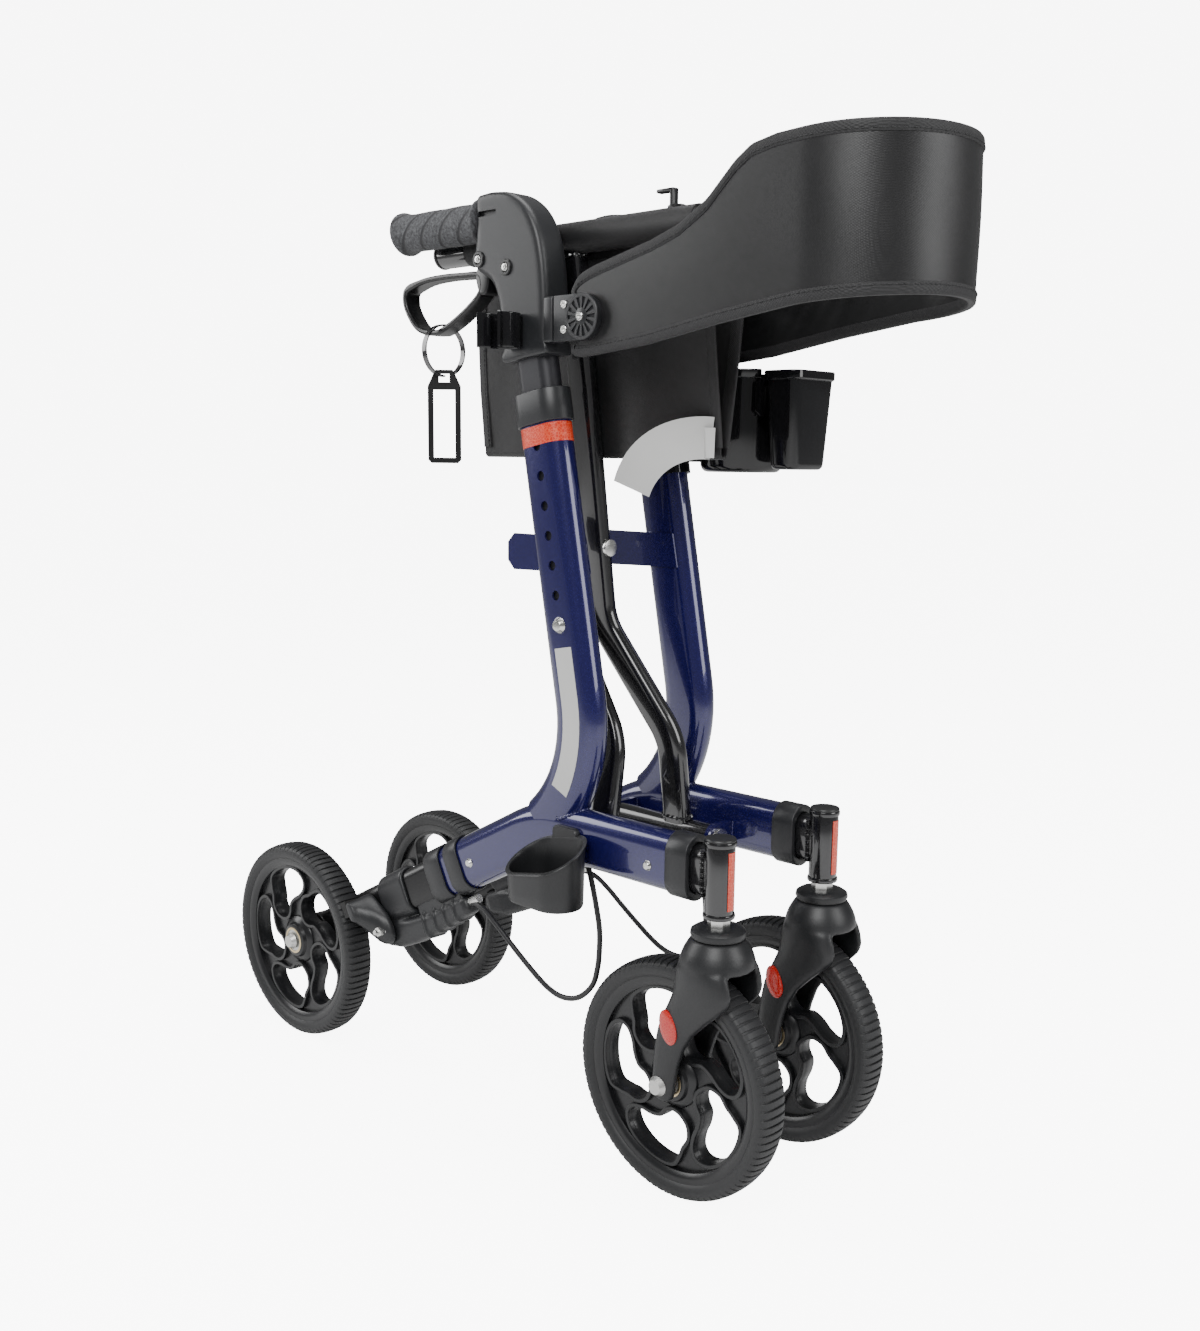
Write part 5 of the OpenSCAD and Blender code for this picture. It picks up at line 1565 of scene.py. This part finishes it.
shell = [cup_ring(66, 37, 0.232, 0), cup_ring(70, 41, 0.2324, 0), cup_ring(72.4, 43.4, 0.2345, 0)]
shell += [cup_ring(72.6 + 2.4 * k, 43.6 + 1.8 * k, 0.2345, k) for k in (0.3, 0.6, 0.9, 0.955)]
shell += [cup_ring(77.6, 48, 0.2345, 0.962), cup_ring(78, 48.4, 0.2345, 0.985),
          cup_ring(77.4, 47.8, 0.2345, 1.0),
          cup_ring(71.8, 41.8, 0.2345, 1.0), cup_ring(71.2, 41.2, 0.2345, 0.985)]
shell += [cup_ring(68.0 + 2.4 * k, 38.6 + 1.8 * k, 0.2352, k) for k in (0.9, 0.6, 0.3, 0.0)]
fit(piece("cane_tip_cup", *loft(shell), fork_plastic), "right_frame", "grey_plastic", "cane_cup")
tab = []
for px, k in ((-0.0890, 2.0), (-0.0882, 0.6), (-0.0870, 0.0), (-0.0842, 0.0)):
    tab.append([(px, -0.162 + a, 0.2725 + b) for a,
                b in round_box(0.030 - k / 1000, 0.043 - k / 1000, 0.005)])
fit(piece("cane_cup_tab", *loft(tab), fork_plastic), "right_frame", "grey_plastic")
print("clip and cane cup made")

# %% [markdown]
# ## Cup and phone holder
# A round cup with a flanged rim and a rounded slot for a mug's handle stands beside a tapered box
# for a phone. A short web joins them at the top and an arm holds the pair to a ring on the upright.

# %% Holder
CX, CY, CZ = 0.103, -0.190, 0.592
mug = spun([(0.592, 0.0001), (0.592, 0.030), (0.5926, 0.0326), (0.5944, 0.0348), (0.5975, 0.0362),
            (0.630, 0.0386), (0.672, 0.0412), (0.6726, 0.0428), (0.6736, 0.0436), (0.6790, 0.0438),
            (0.6800, 0.0430), (0.6800, 0.0392), (0.640, 0.0368), (0.600, 0.0338), (0.5965, 0.0318),
            (0.5950, 0.029), (0.5950, 0.0001)],
           (CX, CY, 0), "Z", 96)
ob = piece("mug_holder", *mug, gloss_plastic)
turn = math.radians(-101)
across, away = (-math.sin(turn), math.cos(turn)), (math.cos(turn), math.sin(turn))
slot = [(0.0135 * math.cos(a), 0.6400 + 0.0135 * math.sin(a)) for a in np.linspace(math.pi, 2 * math.pi, 17)]
slot += [(0.0150, 0.690), (-0.0150, 0.690)]
cutter = loft([[(CX + across[0] * u + away[0] * d, CY + across[1] * u + away[1] * d, z) for u, z in slot]
               for d in (0.020, 0.060)])
carve(ob, [cutter], gloss_plastic)
fit(ob, "left_frame", "gloss_plastic", "cup_holder")

pocket = []
for z, deep, wide, r in ((0.5950, 40, 21, 6), (0.5954, 44, 25, 8), (0.5972, 47.4, 28, 9),
                         (0.6000, 48.6, 29.2, 9), (0.6700, 57.4, 35.6, 9), (0.6706, 59.8, 38.0, 10),
                         (0.6714, 61.6, 39.4, 10.5), (0.6768, 61.8, 39.6, 10.5), (0.6780, 60.6, 38.4, 10),
                         (0.6780, 53.8, 32.0, 7.5), (0.6740, 53.0, 31.2, 7.2), (0.6010, 44.6, 25.2, 7),
                         (0.5984, 42.0, 22.6, 6), (0.5978, 36, 17, 4)):
    pocket.append([(CX + a, -0.2515 + b, z) for a, b in round_box(deep / 1000, wide / 1000, r / 1000, 6)])
fit(piece("phone_box", *loft(pocket), gloss_plastic), "left_frame", "gloss_plastic")
web = []
for y, k in ((-0.2335, 1.0), (-0.2300, 0.85), (-0.2270, 0.75)):
    web.append([(CX + 0.0275 + a, y, 0.6560 + b) for a, b in round_box(0.006 * k, 0.034 * k, 0.002)])
web2 = [[(2 * CX - p[0], p[1], p[2]) for p in ring] for ring in web]
arm = []
for y, k in ((-0.1610, 0.8), (-0.1595, 1.0), (-0.1400, 1.0), (-0.1285, 0.9)):
    arm.append([(0.0815 + a, y, 0.6080 + b) for a, b in round_box(0.011 * k, 0.015 * k, 0.003)])
clamp = side_tube([up(t) for t in (0.1880, 0.1886, 0.2074, 0.2080)], oval(0.0552, 0.0332),
                  oval(0.0506, 0.0286), FRAME_X)
fit(piece("holder_arm_and_ring", *joined([loft(web), loft(web2), loft(arm), clamp]), gloss_plastic),
    "left_frame", "gloss_plastic")
print("holder made")

# %% [markdown]
# ## Key ring and tag
# A split flat ring hangs in the foot of the right lever, and a plain frame tag hangs from it, turned
# half-way towards the front.

# %% Ring and tag
RING_Y, RING_Z = 0.014, 0.69569
TAG_TURN = math.radians(38)
band = []
for a in np.radians(np.linspace(-62, 268, 90)):
    c, s = math.cos(a), math.sin(a)
    band.append([(-FRAME_X + r * c, RING_Y + h, RING_Z + r * s)
                 for r,
                 h in ((0.0230, -0.0026), (0.0230, 0.0026), (0.0227, 0.003), (0.0217, 0.003),
                       (0.0214, 0.0026), (0.0214, -0.0026), (0.0217, -0.003), (0.0227, -0.003))])
fit(piece("split_key_ring", *loft(band), black_paint), "key_tag", "black_plastic", "key_ring_tag")


def tag_point(u, v, depth):
    """A point of the tag: across and up from the middle of its foot, and through its thickness."""
    c, s = math.cos(TAG_TURN), math.sin(TAG_TURN)
    return (-FRAME_X - c * depth - s * u, RING_Y - s * depth + c * u, RING_Z - 0.099 + v)


def tag_ring(half, top, cut, depth):
    """Outline of the tag with a cropped top, at one depth through its thickness."""
    pts = [(-half, 0.003), (-half + 0.003, 0.0), (half - 0.003, 0.0), (half, 0.003), (half, 0.068),
           (half - 0.006, top - 0.002), (half - 0.0075, top), (-half + 0.0075, top),
           (-half + 0.006, top - 0.002), (-half, 0.068)]
    return [tag_point(u, v, depth) for u, v in shrunk(pts, cut)]


ob = piece("name_tag_frame", *loft([tag_ring(0.0150, 0.0825, k, d) for k, d in
                                   ((0.0006, -0.0016), (0.0, -0.001), (0.0, 0.001), (0.0006, 0.0016))]),
           black_plastic)
holes = []
for low, high, half in ((0.0050, 0.0650, 0.0102), (0.0715, 0.0790, 0.0052)):
    corners = [(-half, low), (half, low), (half, high), (-half, high)]
    holes.append(loft([[tag_point(u, v, d) for u, v in corners] for d in (-0.01, 0.01)]))
carve(ob, holes, black_plastic)
fit(ob, "key_tag", "black_plastic")
print("ring and tag made")

# %% [markdown]
# ## Rear brakes
# Under each rear bar hangs a slim moulded channel for the cable, held to the bar by a saddle. On its
# outer side a fin pivots on a bolt; it is broad at the pivot and narrows towards the outer edge of
# the tyre, where it carries the shoe.

# %% Brake bodies and arms
def on_bar(x, sign, u, v, out):
    y, z = down_slope(u / 1000, v / 1000)
    return (x + sign * out / 1000, y, z)


def bar_ring(x, sign, u, mid, deep, wide, r):
    return [on_bar(x, sign, u, mid + a, b) for a, b in round_box(deep, wide, r)]


def bolt_part(x, sign, sides, rows):
    """Part of the pivot bolt, from rows of distance out and radius."""
    return loft([[on_bar(x, sign, 254 + r * math.cos(a), -27 + r * math.sin(a), out) for a in around(sides)]
                 for out, r in rows])


fin_root = closed_curve([(244, -37), (253, -42), (264, -39), (270, -22), (274.5, -8), (274.8, 6), (272, 13),
                         (263, 12), (252, -2), (243, -20)])
fin_tip = closed_curve([(266.5, -5), (269, -8), (273, -8), (274.5, -4), (274.8, 3), (274.5, 8), (272, 10.5),
                        (268.5, 9), (266, 5), (265.6, 0)])
fin_root, fin_tip = even(fin_root, 60), even(fin_tip, 60)
fin_tip = np.roll(fin_tip, -int(np.argmin(np.hypot(*(fin_tip - (266.5, -5)).T))), axis=0)
fin_root = np.roll(fin_root, -int(np.argmin(np.hypot(*(fin_root - (244, -37)).T))), axis=0)
for side, sign in SIDES:
    x = sign * FRAME_X
    channel = [bar_ring(x, sign, *row)
               for row in ((131, -36, 10, 11, 3), (132.5, -36, 15, 16, 5), (137, -36, 18, 20, 6),
                           (160, -37.5, 20, 22, 7), (190, -39, 22, 24, 8), (225, -38, 26, 26, 8),
                           (250, -34, 30, 26, 8), (268, -30, 26, 25, 8), (274, -29, 20, 22, 7),
                           (276, -29, 12, 14, 4))]
    ribs = [loft([bar_ring(x, sign, u + w, m, d - k, wd - k, 7) for w,
                  k in ((-1.6, 1.6), (-0.9, 0), (0.9, 0), (1.6, 1.6))])
            for u, m, d,
            wd in ((150, -37, 23, 24.5), (166, -37.7, 24, 25.5), (182, -38.5, 25, 26.5),
                   (198, -39, 26.5, 27.5))]
    saddle = []
    for u, deep, wide in ((211, 44, 23.5), (212, 47.5, 27), (214, 49.5, 28.4), (252, 49.5, 28.4),
                          (254, 47.5, 27), (255, 44, 23.5), (255, 41.4, 20.6), (211, 41.4, 20.6)):
        saddle.append([on_bar(x, sign, u, a * 1000, b * 1000) for a, b in oval(deep / 1000, wide / 1000)])
    neck = loft([bar_ring(x, sign, u, -22, 14, 16, 3) for u in (136, 206)])
    ob = melted(f"{side}_brake_body", [loft(channel), *ribs, loft(saddle, loop=True), neck], 0.0012, 0.4,
                grey_plastic, 4)
    fit(ob, f"{side}_frame", "grey_plastic", f"{side}_brake_housing")
    rings = []
    for out, k in ((14.6, 0.0), (19, 0.04), (24, 0.25), (30, 0.6), (36, 0.88), (41, 1.0)):
        rings.append([on_bar(x, sign, *((1 - k) * p + k * q), out) for p, q in zip(fin_root, fin_tip)])
    web = loft([[on_bar(x, sign, u, v, out) for u,
                 v in ((256, -38), (266, -36), (273, -8), (270, 4), (260, 0))]
                for out in (15, 22)])
    ob = melted(f"{side}_brake_swing_arm", [loft(rings), web], 0.0012, 0.45, grey_plastic, 6)
    fit(ob, f"{side}_brake", "grey_plastic", f"{side}_brake_arm")
    bolt = [bolt_part(x, sign, 24, ((16, 6.6), (22.6, 6.6), (23, 6.2))),
            bolt_part(x, sign, 6, ((22, 5.2), (27.4, 5.2), (28, 4.7))),
            bolt_part(x, sign, 16, ((27, 2.6), (31.4, 2.6), (31.8, 2.2)))]
    fit(piece(f"{side}_brake_bolt", *joined(bolt), zinc, 25), f"{side}_brake", "zinc")
print("brakes made")

# %% Floor
floor = piece("studio_floor", [(-30, -30, 0), (30, -30, 0), (30, 30, 0), (-30, 30, 0)], [(0, 1, 2, 3)],
              label_white)
floor_paint, floor_tree, floor_shader, _ = start_material("studio_white", Base_Color=(0.9, 0.9, 0.9, 1),
                                                          Roughness=0.8,
                                                Emission_Color=(1, 1, 1, 1))
camera_ray = floor_tree.nodes.new("ShaderNodeLightPath")
glow = node(floor_tree, "ShaderNodeMapRange",
            [("Value", camera_ray.outputs["Is Camera Ray"]), ("To Min", 0.1), ("To Max", 7.9)])
floor_tree.links.new(glow.outputs[0], floor_shader.inputs["Emission Strength"])
floor.data.materials[0] = floor_paint
